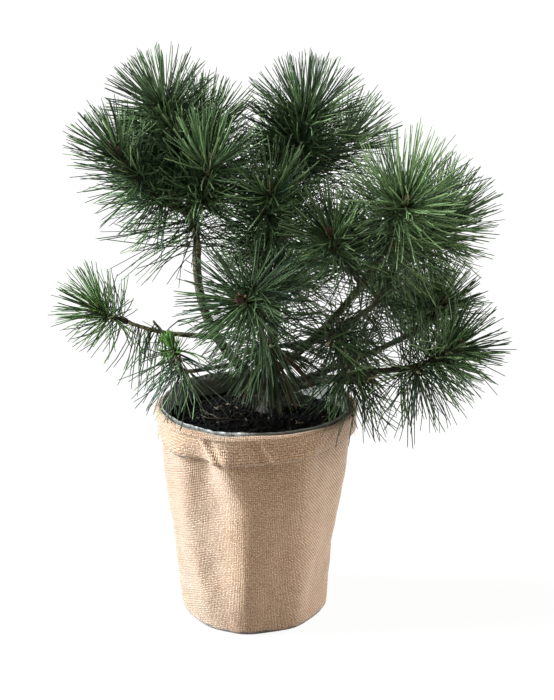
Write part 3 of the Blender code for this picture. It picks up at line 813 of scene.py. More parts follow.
def add_spindle(heap, places, along, radii, sides, pitch, tone_of):
    """A round closed body through the places, with the spiral scales of twigs and buds."""
    level = np.repeat(sides_of(along[:1])[0], len(along), 0)
    level = unit(level - along * (level * along).sum(-1, keepdims=True))
    runs = np.concatenate(([0], np.cumsum(np.linalg.norm(np.diff(places, axis=0), axis=-1))))
    scales = spiral_scales(runs[:, None], turns_of(sides), pitch, (3, 5))
    reach = radii[:, None] * (1 + SCALE_RELIEF * (scales - SCALE_LEVEL))
    verts, tris = closed_tube(places, level, np.cross(along, level), reach)
    band_tones = np.repeat(tone_of(scales[:-1])[:, None], 2, axis=1).ravel()
    end_tones = np.repeat(band_tones[[0, -1]], sides)
    heap.add(verts, tris, np.concatenate((band_tones, end_tones)))


def twig_radius(twig, shares):
    return twig.foot_radius * (1 + (TWIG_TAPER - 1) * shares)


def add_twig(heap, twig):
    count = max(5, round(twig.path.length() / TWIG_RING_STEP))
    shares = np.linspace(0, 1, count)
    places, along = curve_places(twig.path, shares)
    green_from = GREEN_WOOD_FROM if twig.look in GREEN_WOOD else GREEN_FROM

    def tone_of(scales):
        young = np.linspace(0, 1, scales.shape[0])[:, None] > green_from
        return np.where(young, 1, 2 if twig.look in BUDLESS else 0) + np.zeros(scales.shape, int)

    radii = twig_radius(twig, shares)
    add_spindle(heap, places, along, radii, TWIG_SIDES, TWIG_SCALE_PITCH, tone_of)


def add_bud(heap, foot, direction, kind, size, tone):
    length, radius = (part * size for part in kind)
    direction = np.array(direction)
    places = np.array(foot) + direction * BUD_SHARES[:, None] * length
    along = np.repeat(direction[None], len(places), 0)

    def tone_of(scales):
        return np.where(scales > 0.55, 1 - tone, tone)

    pitch = length / BUD_SCALE_ROWS
    add_spindle(heap, places, along, BUD_SWELL * radius, BUD_SIDES, pitch, tone_of)


def add_bud_cluster(heap, twig, rng):
    """A fat middle bud with smaller ones round its foot."""
    tip, axis = twig.path.tip, twig.path.along(1.0)
    size = rng.uniform(*BUD_SIZES) if twig.main else SMALL_BUD
    foot = tip - axis * BUD_SUNK
    add_bud(heap, foot, axis, MIDDLE_BUD, size, 0)
    turn = rng.uniform(0, math.tau)
    for i in range(rng.randint(3, 5) if twig.main else 2):
        lean = rng.uniform(*SIDE_BUD_LEAN)
        side = across(axis, turn + i * SIDE_BUD_TURN)
        direction = (axis * math.cos(lean) + side * math.sin(lean)).normalized()
        add_bud(heap, foot + side * SIDE_BUD_AWAY * size, direction, SIDE_BUD, size, 1)


# ---------------------------------------------------------------- needles

class Obstacles:
    """What the needles keep clear of: the limbs, the pot's wall and the soil."""

    def __init__(self):
        places, radii = [], []
        for name, limb in BOUGHS.items():
            shares = np.linspace(0, 0.97, max(6, round(PATHS[name].length() / 0.004)))
            places.append(curve_places(PATHS[name], shares)[0])
            radii.append(np.array([limb_radius(limb, share) for share in shares]))
        self.places, self.radii = np.concatenate(places), np.concatenate(radii)

    def clear(self, points):
        """Whether every point of each row of points is clear."""
        away = np.linalg.norm(points[:, :, None] - self.places, axis=-1) - self.radii
        clear = (away > LIMB_MARGIN).all(axis=(1, 2))
        across_pot, height = np.hypot(points[..., 0], points[..., 1]), points[..., 2]
        wall = bag_radius(np.minimum(height, RIM_HEIGHT)) + CUFF_GAP + JUTE_THICKNESS + 0.003
        soil = SOIL_CROWN + 0.001 + POT_MARGIN
        inside = across_pot < liner_radius(height) - LINER_THICKNESS - POT_MARGIN
        low = height < RIM_HEIGHT + POT_MARGIN
        hit = low & (across_pot < wall + POT_MARGIN) & ~(inside & (height > soil))
        return clear & ~hit.any(axis=1)


def bent(roots, starts, ends, lengths, shares):
    """Points at some shares along needles that turn evenly from starts to ends."""
    share = np.asarray(shares)[None, :, None]
    moves = starts[:, None] * share + (ends - starts)[:, None] * share * share / 2
    return roots[:, None] + moves * lengths[:, None, None]


def needles_of(twig, look, rng):
    """Roots, first and last directions, lengths and tones of the needles on one twig."""
    settings = bpy.context.scene.pine_needles
    pitch = settings.pitch * look.spacing * (1.0 if twig.main else SIDE_TWIG_SPACING)
    count = max(6, round(twig.path.length() * (1 - twig.bare) / pitch))
    crowded = round(settings.crowded * (1 if twig.main else SIDE_TWIG_CROWN) * look.crown)
    grown = np.concatenate((
        (np.arange(count) + 0.5) / count * EVEN_SHARE,
        CROWDED_FROM + CROWDED_SHARE * (np.arange(crowded) + 0.5) / max(crowded, 1)))
    total = len(grown)
    shares = twig.bare + (1 - twig.bare) * grown
    places, along = curve_places(twig.path, shares)
    level, other = sides_of(along)
    turns = (rng.uniform(0, math.tau) + np.arange(total) * GOLDEN_ANGLE)[:, None]
    turns = turns + CLUMPING * np.sin(CLUMPS * turns + 5 * grown[:, None]) / CLUMPS
    outward = level * np.cos(turns) + other * np.sin(turns)
    opening = FOOT_SPREAD + (math.radians(twig.open) - FOOT_SPREAD) * grown ** CLOSING
    opening[count:] *= rng.uniform(look.closed, MOST_OPEN, crowded)
    opening = (opening + rng.normal(0, SPREAD_JITTER, total))[:, None]
    leaving = along * np.cos(opening) + outward * np.sin(opening)
    down = np.array((0.0, 0.0, -1.0))
    droop = twig.droop * rng.uniform(0.7, 1.2, (total, 1))
    starts = unit(leaving + down * droop * ROOT_DROOP)
    inward = unit(along - starts * (along * starts).sum(-1, keepdims=True))
    curl = rng.normal(settings.curl, settings.curl * 0.5, (total, 1)) * look.curl
    ends = unit(starts + inward * np.tan(curl) + down * droop * TIP_DROOP)
    ends = unit(ends + rng.normal(0, look.wander, (total, 3)))
    lengths = twig.needle * (LONGEST - look.shorter * rng.uniform(0, 1, total) ** 1.5)
    roots = places + outward * twig_radius(twig, shares)[:, None] * ROOT_DEPTH

    first, second = sides_of(starts.copy())
    plane = rng.uniform(0, math.tau, (total, 1))
    apart = first * np.cos(plane) + second * np.sin(plane)
    fork = np.tan(rng.uniform(0.4, 1.3, (total, 1)) * settings.fork / 2)
    both = [
        (roots + apart * side * settings.width * PAIR_APART,
         unit(starts + apart * fork * side),
         unit(ends + apart * fork * side * TIP_FORK),
         lengths * rng.uniform(0.95, 1.03, total), apart * side)
        for side in (1, -1)
    ]
    weights = np.array(look.tones) * rng.uniform(0.6, 1.4, len(look.tones))
    tones = rng.choice(len(weights), total, p=weights / weights.sum())
    kept = (outward[:, 2] < KEPT_BELOW) | (rng.uniform(0, 1, total) < look.above)
    young = TONES.index("young")
    if twig.look != "sprout":
        tones[(tones == young) & (grown < YOUNG_FROM)] = TONES.index("light")
    joined = [np.concatenate(parts) for parts in zip(*both)]
    kept = np.concatenate((kept, kept))
    return [part[kept] for part in joined + [np.concatenate((tones, tones))]]


def shorten_to_fit(obstacles, roots, starts, ends, lengths):
    """Shortens needles that touch something, and gives up those that still do."""
    fitted = np.zeros(len(roots))
    for tried in NEEDLE_TRIES:
        left = fitted == 0
        if left.any():
            points = bent(roots[left], starts[left], ends[left], lengths[left] * tried, CHECKED_SHARES)
            fitted[left] = np.where(obstacles.clear(points), tried, 0)
    return fitted


def add_needles(heap, roots, starts, ends, lengths, apart, tones, width):
    """Three-cornered needles, flat where the pair meets, with a sheath at the foot."""
    total, rings = len(roots), len(NEEDLE_RINGS)
    places = bent(roots, starts, ends, lengths, NEEDLE_RINGS)
    share = np.array(NEEDLE_RINGS)[None, :, None]
    along = unit(starts[:, None] * (1 - share) + ends[:, None] * share)
    round_side = unit(apart[:, None] - along * (apart[:, None] * along).sum(-1, keepdims=True))
    level = np.cross(round_side, along)
    half = (width / 2 * np.array(NEEDLE_SWELL))[None, :, None]
    lift = round_side * half * NEEDLE_FLATNESS
    corners = np.stack((
        places - level * half - lift * 0.5,
        places + lift * 1.3,
        places + level * half - lift * 0.5), axis=2)
    turned = np.cross(corners[:, 1, 1] - corners[:, 1, 0], corners[:, 1, 2] - corners[:, 1, 0])
    if (turned * along[:, 1]).sum(-1).mean() < 0:
        corners = corners[:, :, ::-1]
    tips = bent(roots, starts, ends, lengths, (1.0,))
    verts = np.concatenate((corners.reshape(total, rings * 3, 3), tips), axis=1)
    index = np.arange(rings * 3).reshape(rings, 3)
    bands = band_tris(index[:-1], index[1:]).reshape(-1, 3)
    one = np.concatenate((bands, fan_tris(index[-1], rings * 3), index[0][None, ::-1]))
    tris = one[None] + (np.arange(total) * (rings * 3 + 1))[:, None, None]
    shades = np.repeat(tones[:, None], len(one), axis=1)
    shades[:, :6] = TONES.index("sheath")
    shades[:, -1] = TONES.index("sheath")
    heap.add(verts, tris, shades)


def make_needles(mass, materials, obstacles):
    heap = Heap()
    rng = np.random.RandomState(MASSES[mass][0])
    width = bpy.context.scene.pine_needles.width
    for twig in grow_twigs(mass):
        roots, starts, ends, lengths, apart, tones = needles_of(twig, LOOKS[twig.look], rng)
        fitted = shorten_to_fit(obstacles, roots, starts, ends, lengths)
        kept = fitted > 0
        add_needles(
            heap, roots[kept], starts[kept], ends[kept], (lengths * fitted)[kept],
            apart[kept], tones[kept], width)
    finish_piece(heap.make(mass.replace("foliage", "needles")), materials, "needles", mass)


# ---------------------------------------------------------------- jute, liner and soil

# The wall's corners, with the cloth stretched nearly flat between them: the compass angle of each
# at the foot and under the cuff, the heights between which it moves, and how far it stands out at
# each of some heights.
Corner = namedtuple("Corner", "foot top low high stands")
CORNERS = (
    Corner(-171, -173, 0.02, 0.15, ((0, 0.30),)),
    Corner(-124, -137, 0.015, 0.10, ((0, 1.10), (0.04, 0.55))),
    Corner(-114, -121.5, 0.015, 0.06, (
        (0.020, 0.40), (0.043, -0.15), (0.058, -0.55), (0.075, -0.30), (0.090, -0.40),
        (0.105, -0.80), (0.120, -1.20), (0.136, -1.45), (0.163, -1.70))),
    Corner(-97, -114, 0.122, 0.180, ((0, 1.25), (0.05, 1.65), (0.15, 1.55))),
    Corner(-58, -60, 0.02, 0.15, ((0, -0.20), (0.05, 0.45))),
    Corner(-10, -14, 0.02, 0.15, (
        (0.02, -0.85), (0.05, -0.80), (0.075, -0.60), (0.095, -0.30), (0.115, 0.0), (0.14, 0.20))),
    Corner(34, 28, 0.02, 0.15, ((0, 0.40),)),
    Corner(66, 72, 0.02, 0.15, ((0, -0.30),)),
    Corner(92, 90, 0.02, 0.15, ((0, 0.55),)),
    Corner(134, 140, 0.02, 0.15, ((0, 0.30),)),
    Corner(152, 158, 0.02, 0.15, ((0, -0.25),)),
)
FLATNESS = 0.8
SOFTENING = ((-8.0, 0.12), (-4.0, 0.22), (0.0, 0.32), (4.0, 0.22), (8.0, 0.12))


@lru_cache(maxsize=4096)
def wall_corners(height):
    """(compass angle, stand) of every corner at a height, with one more past each end."""
    placed = []
    for corner in CORNERS:
        angle = between(corner.foot, corner.top, smoothstep(corner.low, corner.high, height))
        placed.append((angle, float(np.interp(height, *zip(*corner.stands)))))
    first, last = placed[0], placed[-1]
    return [(last[0] - 360, last[1]), *placed, (first[0] + 360, first[1])]


def stretched(angle, height, depth):
    """How far cloth stretched from corner to corner stands out."""
    corners = wall_corners(height)
    for (low, first), (high, last) in zip(corners, corners[1:]):
        if low <= angle <= high:
            break
    share = (angle - low) / (high - low)
    round_stand = between(first, last, share) * depth
    wall = bag_radius(height)
    near, far = wall + first * depth, wall + last * depth
    ahead, behind = math.radians(angle - low), math.radians(high - angle)
    chord = near * far * math.sin(ahead + behind) / (near * math.sin(ahead) + far * math.sin(behind))
    return between(round_stand, chord - wall, FLATNESS)


def pot_fold(angle, height):
    """How far the pot's soft wall stands out at a compass angle in degrees and a height."""
    level = round(min(max(height, 0), JUTE_TOP), 4)
    strength = 0.60 + 0.40 * smoothstep(0.0, 0.04, level)
    strength *= 1 - 0.85 * smoothstep(0.166, 0.186, level)
    depth = bpy.context.scene.pine_pot.fold_depth
    stand = 0
    for offset, weight in SOFTENING:
        turned = (angle + offset + 180) % 360 - 180
        stand += weight * stretched(turned, level, depth)
    theta = math.radians(angle)
    spot = Vector((math.cos(theta) * 1.9, math.sin(theta) * 1.9, height * 20))
    waves = noise.noise(spot) * 0.22 + noise.noise(spot * 2.7) * 0.13
    return strength * (stand + FOLD_OUT + depth * waves)


HEM_HEIGHTS = (
    (-180, 0.1670), (-128, 0.1662), (-107, 0.1660), (-58, 0.1700), (-28, 0.1725),
    (-3, 0.1745), (60, 0.1690), (130, 0.1675), (180, 0.1670),
)


def hem_height(angle):
    """Height of the cuff's lower edge at a compass angle."""
    angles, heights = zip(*HEM_HEIGHTS)
    theta = math.radians(angle)
    return float(np.interp(angle, angles, heights)) + 0.0006 * math.sin(6 * theta + 1.1)


# Narrow creases down the cuff: the compass angle of each at its top and at its hem, and how far
# it stands out.
CREASES = (
    (-117, -108, -0.0030), (-91, -82, -0.0020), (-121.5, -113, 0.0016), (-86.5, -77.5, 0.0018),
    (-40, -52, -0.0009), (60, 72, -0.0011), (140, 128, -0.0011),
)
CREASE_WIDTH = 1.8
CUFF_SUNK = -0.0016  # how far it may go in at the most


def cuff_fold(angle, down):
    """How far the cuff stands out from the bag under it."""
    out = sum(
        stand * hump(angle, between(top, foot, down), CREASE_WIDTH) for top, foot, stand in CREASES)
    out += 0.0012 * hump(angle, -107, 7)
    out += 0.0022 * down * hump(angle, -6, 26) + 0.0014 * down * hump(angle, 150, 30)
    out += 0.0009 * math.sin(math.radians(angle) * 5 + 0.6) * down
    return max(out, CUFF_SUNK)


def rows(count, first, last):
    return [between(first, last, i / count) for i in range(count + 1)]


def sleeve_profile():
    """(radius, height, part) round the closed outline of the sleeve.

    A point of the cuff has its share of the way down to the hem in place of its height.
    """
    top = JUTE_TOP
    thick = JUTE_THICKNESS
    fold = thick / 2 + CUFF_GAP / 2 + thick / 2
    line = [(bag_radius(0) * share, thick, None) for share in (0.0, 0.3, 0.6, 0.85)]
    line += [(bag_radius(z) - thick, z, None) for z in rows(24, FOOT_ROUNDING, top - CUFF_TURN)]
    middle = bag_radius(top) + CUFF_GAP / 2
    for i in range(7):
        turn = math.pi * i / 6
        radius = middle - math.cos(turn) * (fold + thick / 2)
        line.append((radius, top - CUFF_TURN + CUFF_TURN * math.sin(turn), "fold"))
    line += [(None, i / CUFF_ROWS, "outside") for i in range(1, CUFF_ROWS + 1)]
    line += [(None, i / CUFF_ROWS, "inside") for i in range(CUFF_ROWS - 1, 0, -1)]
    line += [(bag_radius(z), z, None) for z in rows(72, top - 0.0075, FOOT_ROUNDING)]
    for i in range(1, 5):
        turn = math.radians(22.5 * i)
        inset = FOOT_ROUNDING * (1 - math.cos(turn))
        line.append((bag_radius(0) - inset, FOOT_ROUNDING * (1 - math.sin(turn)), None))
    line += [(bag_radius(0) * share, 0, None) for share in (0.85, 0.6, 0.3, 0.0)]
    return line


def place_sleeve_point(angle, item):
    """Radius and height of one point of the sleeve's outline at a compass angle."""
    radius, height, part = item
    thick = JUTE_THICKNESS
    if part in ("outside", "inside"):
        down = height
        z = between(JUTE_TOP - CUFF_TURN, hem_height(angle), down)
        stand = thick if part == "outside" else 0
        if down == 1.0:
            stand, z = thick / 2, z - 0.0006
        radius = bag_radius(z) + CUFF_GAP + stand + cuff_fold(angle, down)
        return radius + pot_fold(angle, z), z
    lift = rim_lift(angle) if part == "fold" else 0.0
    radius += pot_fold(angle, height) * min(1, radius / FLOOR_RADIUS)
    return max(radius, 0), height + lift


def rim_lift(angle):
    """How much the folded top of the sleeve rises and dips round the pot."""
    theta = math.radians(angle)
    return 0.0007 * math.sin(4 * theta + 0.5) + 0.0004 * math.sin(11 * theta) - 0.0006


def spin_outline(outline, place_at, steps):
    """Spins an outline that starts and ends on the axis, and shapes it at each compass angle."""
    bm = bmesh.new()
    turns, runs = bm.verts.layers.float.new("turn"), bm.verts.layers.float.new("run")
    order = bm.verts.layers.int.new("order")
    made, run, last = [], 0.0, None
    for i, item in enumerate(outline):
        radius, height = place_at(0, item)
        if last:
            run += math.dist(last, (radius, height))
        last = (radius, height)
        vert = bm.verts.new((radius, 0, height))
        vert[order], vert[runs] = i, run
        made.append(vert)
    edges = [bm.edges.new(pair) for pair in zip(made, made[1:])]
    bmesh.ops.spin(
        bm, geom=made + edges, cent=(0, 0, 0), axis=(0, 0, 1), angle=math.tau, steps=steps,
        use_merge=True, use_duplicate=False)
    for vert in bm.verts:
        item = outline[vert[order]]
        turn = math.atan2(vert.co.y, vert.co.x)
        vert[turns] = turn
        if item[0] == 0.0 and vert.co.xy.length < 1e-6:
            vert.co = (0, 0, item[1])
            continue
        radius, height = place_at(math.degrees(turn), item)
        vert.co = (radius * math.cos(turn), radius * math.sin(turn), height)
    bmesh.ops.remove_doubles(bm, verts=bm.verts, dist=1e-6)
    bmesh.ops.recalc_face_normals(bm, faces=bm.faces)
    return bm


def make_sleeve(materials):
    bm = spin_outline(sleeve_profile(), place_sleeve_point, SLEEVE_STEPS)
    unroll(bm, WRAP_RADIUS)
    finish_piece(object_from(bm, "jute_cloth"), materials, "jute", "jute_sleeve")


def add_hair(heap, places, radius, tone):
    """A thin thread through a few places."""
    radii = np.full((len(places), HAIR_SIDES), radius)
    radii[-1] *= HAIR_TIP
    verts, tris = closed_tube(places, *sides_of(unit(np.gradient(places, axis=0))), radii)
    heap.add(verts, tris, np.full(len(tris), tone))


def make_frayed_threads(materials):
    """Loose ends of thread along the cuff's lower edge, and fluff on the cloth."""
    rng = np.random.RandomState(41)
    heap = Heap()
    cuff_top = JUTE_TOP - CUFF_TURN
    for i in range(FRAYED_THREADS):
        angle = rng.uniform(-180, 180)
        on_hem = i % 2 == 0
        z = hem_height(angle) if on_hem else rng.uniform(0.004, 0.188)
        radius = bag_radius(z) + pot_fold(angle, z)
        if z > hem_height(angle) - 0.0005:
            down = (cuff_top - z) / (cuff_top - hem_height(angle))
            radius += CUFF_GAP + JUTE_THICKNESS + cuff_fold(angle, min(1, max(0, down)))
        theta = math.radians(angle)
        out = np.array((math.cos(theta), math.sin(theta), 0))
        round_pot = np.array((-math.sin(theta), math.cos(theta), 0))
        drift = round_pot * rng.normal(0, 1) + np.array((0, 0, rng.normal(-0.9 if on_hem else 0, 0.6)))
        length = rng.uniform(0.002, 0.006)
        steps = np.linspace(0, 1, 5)[:, None]
        rise = out * (0.0007 * np.sin(steps * math.pi * 0.8) + 0.0002 * steps)
        start = out * radius + np.array((0, 0, z)) - out * 0.0002
        add_hair(heap, start + drift * length * steps * 0.6 + rise, FRAYED_RADIUS, 0)
    finish_piece(heap.make("jute_frayed_threads"), materials, "jute", smooth=False)


def liner_edge(angle):
    """Height that the liner's thin edge adds to the rim."""
    theta = math.radians(angle)
    spot = Vector((math.cos(theta) * 4, math.sin(theta) * 4, 0))
    return noise.noise(spot) * 0.0012 + noise.noise(spot * 4) * 0.0006 + 0.0034 * hump(angle, 128, 34)


def liner_profile():
    """(radius, height, share of the wavy edge) round the closed outline of the liner."""
    floor = JUTE_THICKNESS + CLEARANCE
    thick = LINER_THICKNESS
    line = [(liner_radius(floor) * share, floor + thick, 0) for share in (0.0, 0.5, 0.9)]
    inner = rows(6, floor + 0.004, RIM_HEIGHT - 0.022) + rows(22, RIM_HEIGHT - 0.020, RIM_HEIGHT)
    line += [(liner_radius(z) - thick, z, smoothstep(0.55, 1, z / RIM_HEIGHT)) for z in inner]
    line += [(liner_radius(RIM_HEIGHT) - thick / 2, RIM_HEIGHT + 0.0004, 1)]
    line += [(liner_radius(z), z, smoothstep(0.55, 1, z / RIM_HEIGHT)) for z in reversed(inner)]
    line += [(liner_radius(floor) * share, floor, 0) for share in (0.9, 0.5, 0.0)]
    return line


def place_liner_point(angle, item):
    radius, height, edge = item
    theta = math.radians(angle)
    spot = Vector((math.cos(theta) * 9, math.sin(theta) * 9, height * 60))
    crinkle = noise.noise(spot) * 0.0007 * edge
    moved = radius + pot_fold(angle, height) * min(1, radius / FLOOR_RADIUS) + crinkle
    return moved, height + liner_edge(angle) * edge ** 2


def make_liner(materials):
    bm = spin_outline(liner_profile(), place_liner_point, LINER_STEPS)
    unroll(bm, WRAP_RADIUS)
    finish_piece(object_from(bm, "pot_liner_film"), materials, "liner", "pot_liner")


def soil_height(x, y):
    """Height of the soil's crumbly top."""
    away = math.hypot(x, y)
    edge = liner_radius(SOIL_CROWN) - LINER_THICKNESS - CLEARANCE
    fall = SOIL_FALL * smoothstep(SOIL_FLAT_RADIUS, edge, away)
    spot = Vector((x, y, 0.3))
    lumps = noise.noise(spot * 70) * 0.0022 + noise.noise(spot * 210) * 0.0013
    lumps += noise.noise(spot * 520) * 0.0007
    stem = math.hypot(x - TRUNK_PLACE[0], y - TRUNK_PLACE[1])
    mound = 0.0014 * (1 - smoothstep(0.006, 0.020, stem))
    return SOIL_CROWN + mound - fall + lumps * smoothstep(0.010, 0.016, stem)


def soil_profile():
    """(radius, height, whether it is on top) round the closed outline of the soil."""
    floor = JUTE_THICKNESS + LINER_THICKNESS + 2 * CLEARANCE
    wall = LINER_THICKNESS + CLEARANCE
    line = [(share * (liner_radius(SOIL_CROWN) - wall), 0, 1) for share in rows(48, 0.0, 1.0)]
    line += [(liner_radius(z) - wall, z, 0) for z in rows(8, SOIL_CROWN - 0.012, floor + 0.004)]
    line += [((liner_radius(floor) - wall) * share, floor, 0) for share in (0.95, 0.5, 0.0)]
    return line


def place_soil_point(angle, item):
    radius, height, top = item
    theta = math.radians(angle)
    if top:
        moved = radius + pot_fold(angle, SOIL_CROWN) * (radius / SOIL_FOLD_RADIUS) ** 3
        return moved, soil_height(moved * math.cos(theta), moved * math.sin(theta))
    return radius + pot_fold(angle, height) * min(1, radius / FLOOR_RADIUS), height


def make_soil(materials):
    bm = spin_outline(soil_profile(), place_soil_point, SOIL_STEPS)
    for vert in bm.verts:
        if vert.co.xy.length < 1e-6 and vert.co.z < 1e-6:
            vert.co.z = soil_height(0, 0)
    unroll(bm, WRAP_RADIUS)
    finish_piece(object_from(bm, "soil_top"), materials, "soil", "soil")


LUMP = np.array((
    (1, 0, 0), (-1, 0, 0), (0, 1, 0), (0, -1, 0), (0, 0, 1), (0, 0, -1),
    (0.6, 0.6, 0.6), (-0.6, 0.6, 0.6), (-0.6, -0.6, 0.6), (0.6, -0.6, 0.6),
    (0.6, 0.6, -0.6), (-0.6, 0.6, -0.6), (-0.6, -0.6, -0.6), (0.6, -0.6, -0.6)), float)
LUMP_SIDES = (
    (0, (6, 9, 13, 10)), (1, (7, 11, 12, 8)), (2, (6, 10, 11, 7)),
    (3, (8, 12, 13, 9)), (4, (6, 7, 8, 9)), (5, (10, 13, 12, 11)),
)
LUMP_TRIS = np.array([
    (corner, after, tip) for tip, ring in LUMP_SIDES for corner, after in zip(ring, ring[1:] + ring[:1])
])


def outward_tris(verts, tris):
    """The triangles of a closed shape round its middle, each turned to face outwards."""
    middle = verts.mean(axis=0)
    a, b, c = (verts[tris[:, i]] for i in range(3))
    facing = (np.cross(b - a, c - a) * ((a + b + c) / 3 - middle)).sum(-1)
    return np.where((facing < 0)[:, None], tris[:, ::-1], tris)


def soil_spot(rng):
    """A random place on the soil, clear of the trunk and the wall."""
    while True:
        away = math.sqrt(rng.uniform(0, 1)) * (liner_radius(SOIL_CROWN) - 0.0045)
        theta = rng.uniform(0, math.tau)
        x, y = away * math.cos(theta), away * math.sin(theta)
        if math.hypot(x - TRUNK_PLACE[0], y - TRUNK_PLACE[1]) > STEM_CLEAR:
            return x, y, soil_height(x, y)


def turned_axes(rng):
    """Three square directions at a random turn."""
    first = unit(rng.normal(0, 1, (1, 3)))
    level, other = sides_of(first.copy())
    return np.concatenate((first, level, other))


def add_crumbs(heap, rng):
    for i in range(CRUMBS):
        x, y, z = soil_spot(rng)
        size = rng.uniform(0.0005, 0.0022)
        shape = LUMP * rng.uniform(0.7, 1.25, LUMP.shape) * rng.uniform(0.6, 1.0, 3) * size
        verts = shape @ turned_axes(rng) + np.array((x, y, z + size * 0.25))
        heap.add(verts, outward_tris(verts, LUMP_TRIS), np.full(len(LUMP_TRIS), i % 3 == 0, int))


def add_chips(heap, rng):
    for _ in range(CHIPS):
        x, y, z = soil_spot(rng)
        long, wide = rng.uniform(0.0022, 0.0065), rng.uniform(0.0006, 0.0016)
        shape = LUMP * rng.uniform(0.8, 1.2, LUMP.shape) * np.array((long, wide, wide * 0.6)) / 1.2
        axes = turned_axes(rng)
        axes[0, 2] *= 0.35
        flat = unit(axes[:1])
        axes = np.stack((flat[0], *(side[0] for side in sides_of(flat))))
        verts = shape @ axes + np.array((x, y, z + 0.0007))
        heap.add(verts, outward_tris(verts, LUMP_TRIS), np.full(len(LUMP_TRIS), 2))


def add_fibres(heap, rng):
    """Root fibres, and one fallen needle to every three of them."""
    for i in range(FIBRES):
        fibre = i % 4 != 0
        x, y, _ = soil_spot(rng)
        theta = rng.uniform(0, math.tau)
        length = rng.uniform(*((0.003, 0.010) if fibre else (0.020, 0.036)))
        steps = np.linspace(-0.5, 0.5, 9)
        bend = rng.normal(0, 0.22)
        xs = x + length * (steps * math.cos(theta) - bend * (steps ** 2 - 0.1) * math.sin(theta))
        ys = y + length * (steps * math.sin(theta) + bend * (steps ** 2 - 0.1) * math.cos(theta))
        reach = np.hypot(xs, ys).max()
        near_stem = np.hypot(xs - TRUNK_PLACE[0], ys - TRUNK_PLACE[1]).min()
        if reach > liner_radius(SOIL_CROWN) - 0.004 or near_stem < 0.014:
            continue
        zs = np.array([soil_height(a, b) for a, b in zip(xs, ys)])
        zs = np.maximum(zs, zs.mean()) + 0.0006 + rng.uniform(0, 0.001) * np.cos(steps * 3)
        radius, tone = (0.00024, 3) if fibre else (0.00040, 4)
        add_hair(heap, np.stack((xs, ys, zs), axis=1), radius, tone)


def make_litter(materials):
    """Crumbs, wood chips, root fibres and fallen needles on the soil."""
    heap, rng = Heap(), np.random.RandomState(7)
    add_crumbs(heap, rng)
    add_chips(heap, rng)
    add_fibres(heap, rng)
    finish_piece(heap.make("soil_crumbs"), materials, "soil", smooth=False)


# ---------------------------------------------------------------- finishes

def feed(tree, socket, value):
    """Links a socket to an input, or gives the input a number, a vector or a colour."""
    if isinstance(value, bpy.types.NodeSocket):
        tree.links.new(value, socket)
    else:
        socket.default_value = (*value, 1) if socket.type == "RGBA" else value


def calc(tree, operation, *values, kind="ShaderNodeMath"):
    """A Math node's result.  Each value is a number or a socket."""
    made = tree.nodes.new(kind)
    made.operation = operation
    for socket, value in zip(made.inputs, values):
        feed(tree, socket, value)
    return made.outputs[0]


def vector_calc(tree, operation, *values):
    """A Vector Math node's result.  Each value is a vector or a socket."""
    return calc(tree, operation, *values, kind="ShaderNodeVectorMath")


def parts_of(tree, vector):
    """The parts of a vector, by their letters."""
    made = tree.nodes.new("ShaderNodeSeparateXYZ")
    tree.links.new(vector, made.inputs[0])
    return made.outputs


def ramp(tree, value, low, high, to_low=0.0, to_high=1.0):
    """A socket's value moved from one range to another, and kept within it."""
    made = tree.nodes.new("ShaderNodeMapRange")
    tree.links.new(value, made.inputs["Value"])
    for name, number in zip(("From Min", "From Max", "To Min", "To Max"), (low, high, to_low, to_high)):
        made.inputs[name].default_value = number
    return made.outputs["Result"]


def blend_colours(tree, share, first, second, kind="MIX"):
    made = tree.nodes.new("ShaderNodeMix")
    made.data_type, made.blend_type = "RGBA", kind
    for number, value in ((0, share), (6, first), (7, second)):
        feed(tree, made.inputs[number], value)
    return made.outputs[2]


def noise_of(tree, vector, scale, detail=3.0, roughness=0.55):
    made = tree.nodes.new("ShaderNodeTexNoise")
    tree.links.new(vector, made.inputs["Vector"])
    made.inputs["Scale"].default_value = scale
    made.inputs["Detail"].default_value = detail
    made.inputs["Roughness"].default_value = roughness
    return made


def new_group(name, inputs, outputs):
    """A shader node group with the named sockets, and its input and output nodes."""
    group = bpy.data.node_groups.new(name, "ShaderNodeTree")
    for title, kind, default in inputs:
        socket = group.interface.new_socket(title, in_out="INPUT", socket_type=kind)
        if default is not None:
            socket.default_value = default
    for title, kind in outputs:
        group.interface.new_socket(title, in_out="OUTPUT", socket_type=kind)
    return group, group.nodes.new("NodeGroupInput"), group.nodes.new("NodeGroupOutput")


def use_group(tree, group, vector, **values):
    """Places a node group in a material.  Underscores in a value's name stand for spaces."""
    made = tree.nodes.new("ShaderNodeGroup")
    made.node_tree = group
    tree.links.new(vector, made.inputs["Vector"])
    for name, value in values.items():
        feed(tree, made.inputs[name.replace("_", " ").capitalize()], value)
    return made.outputs


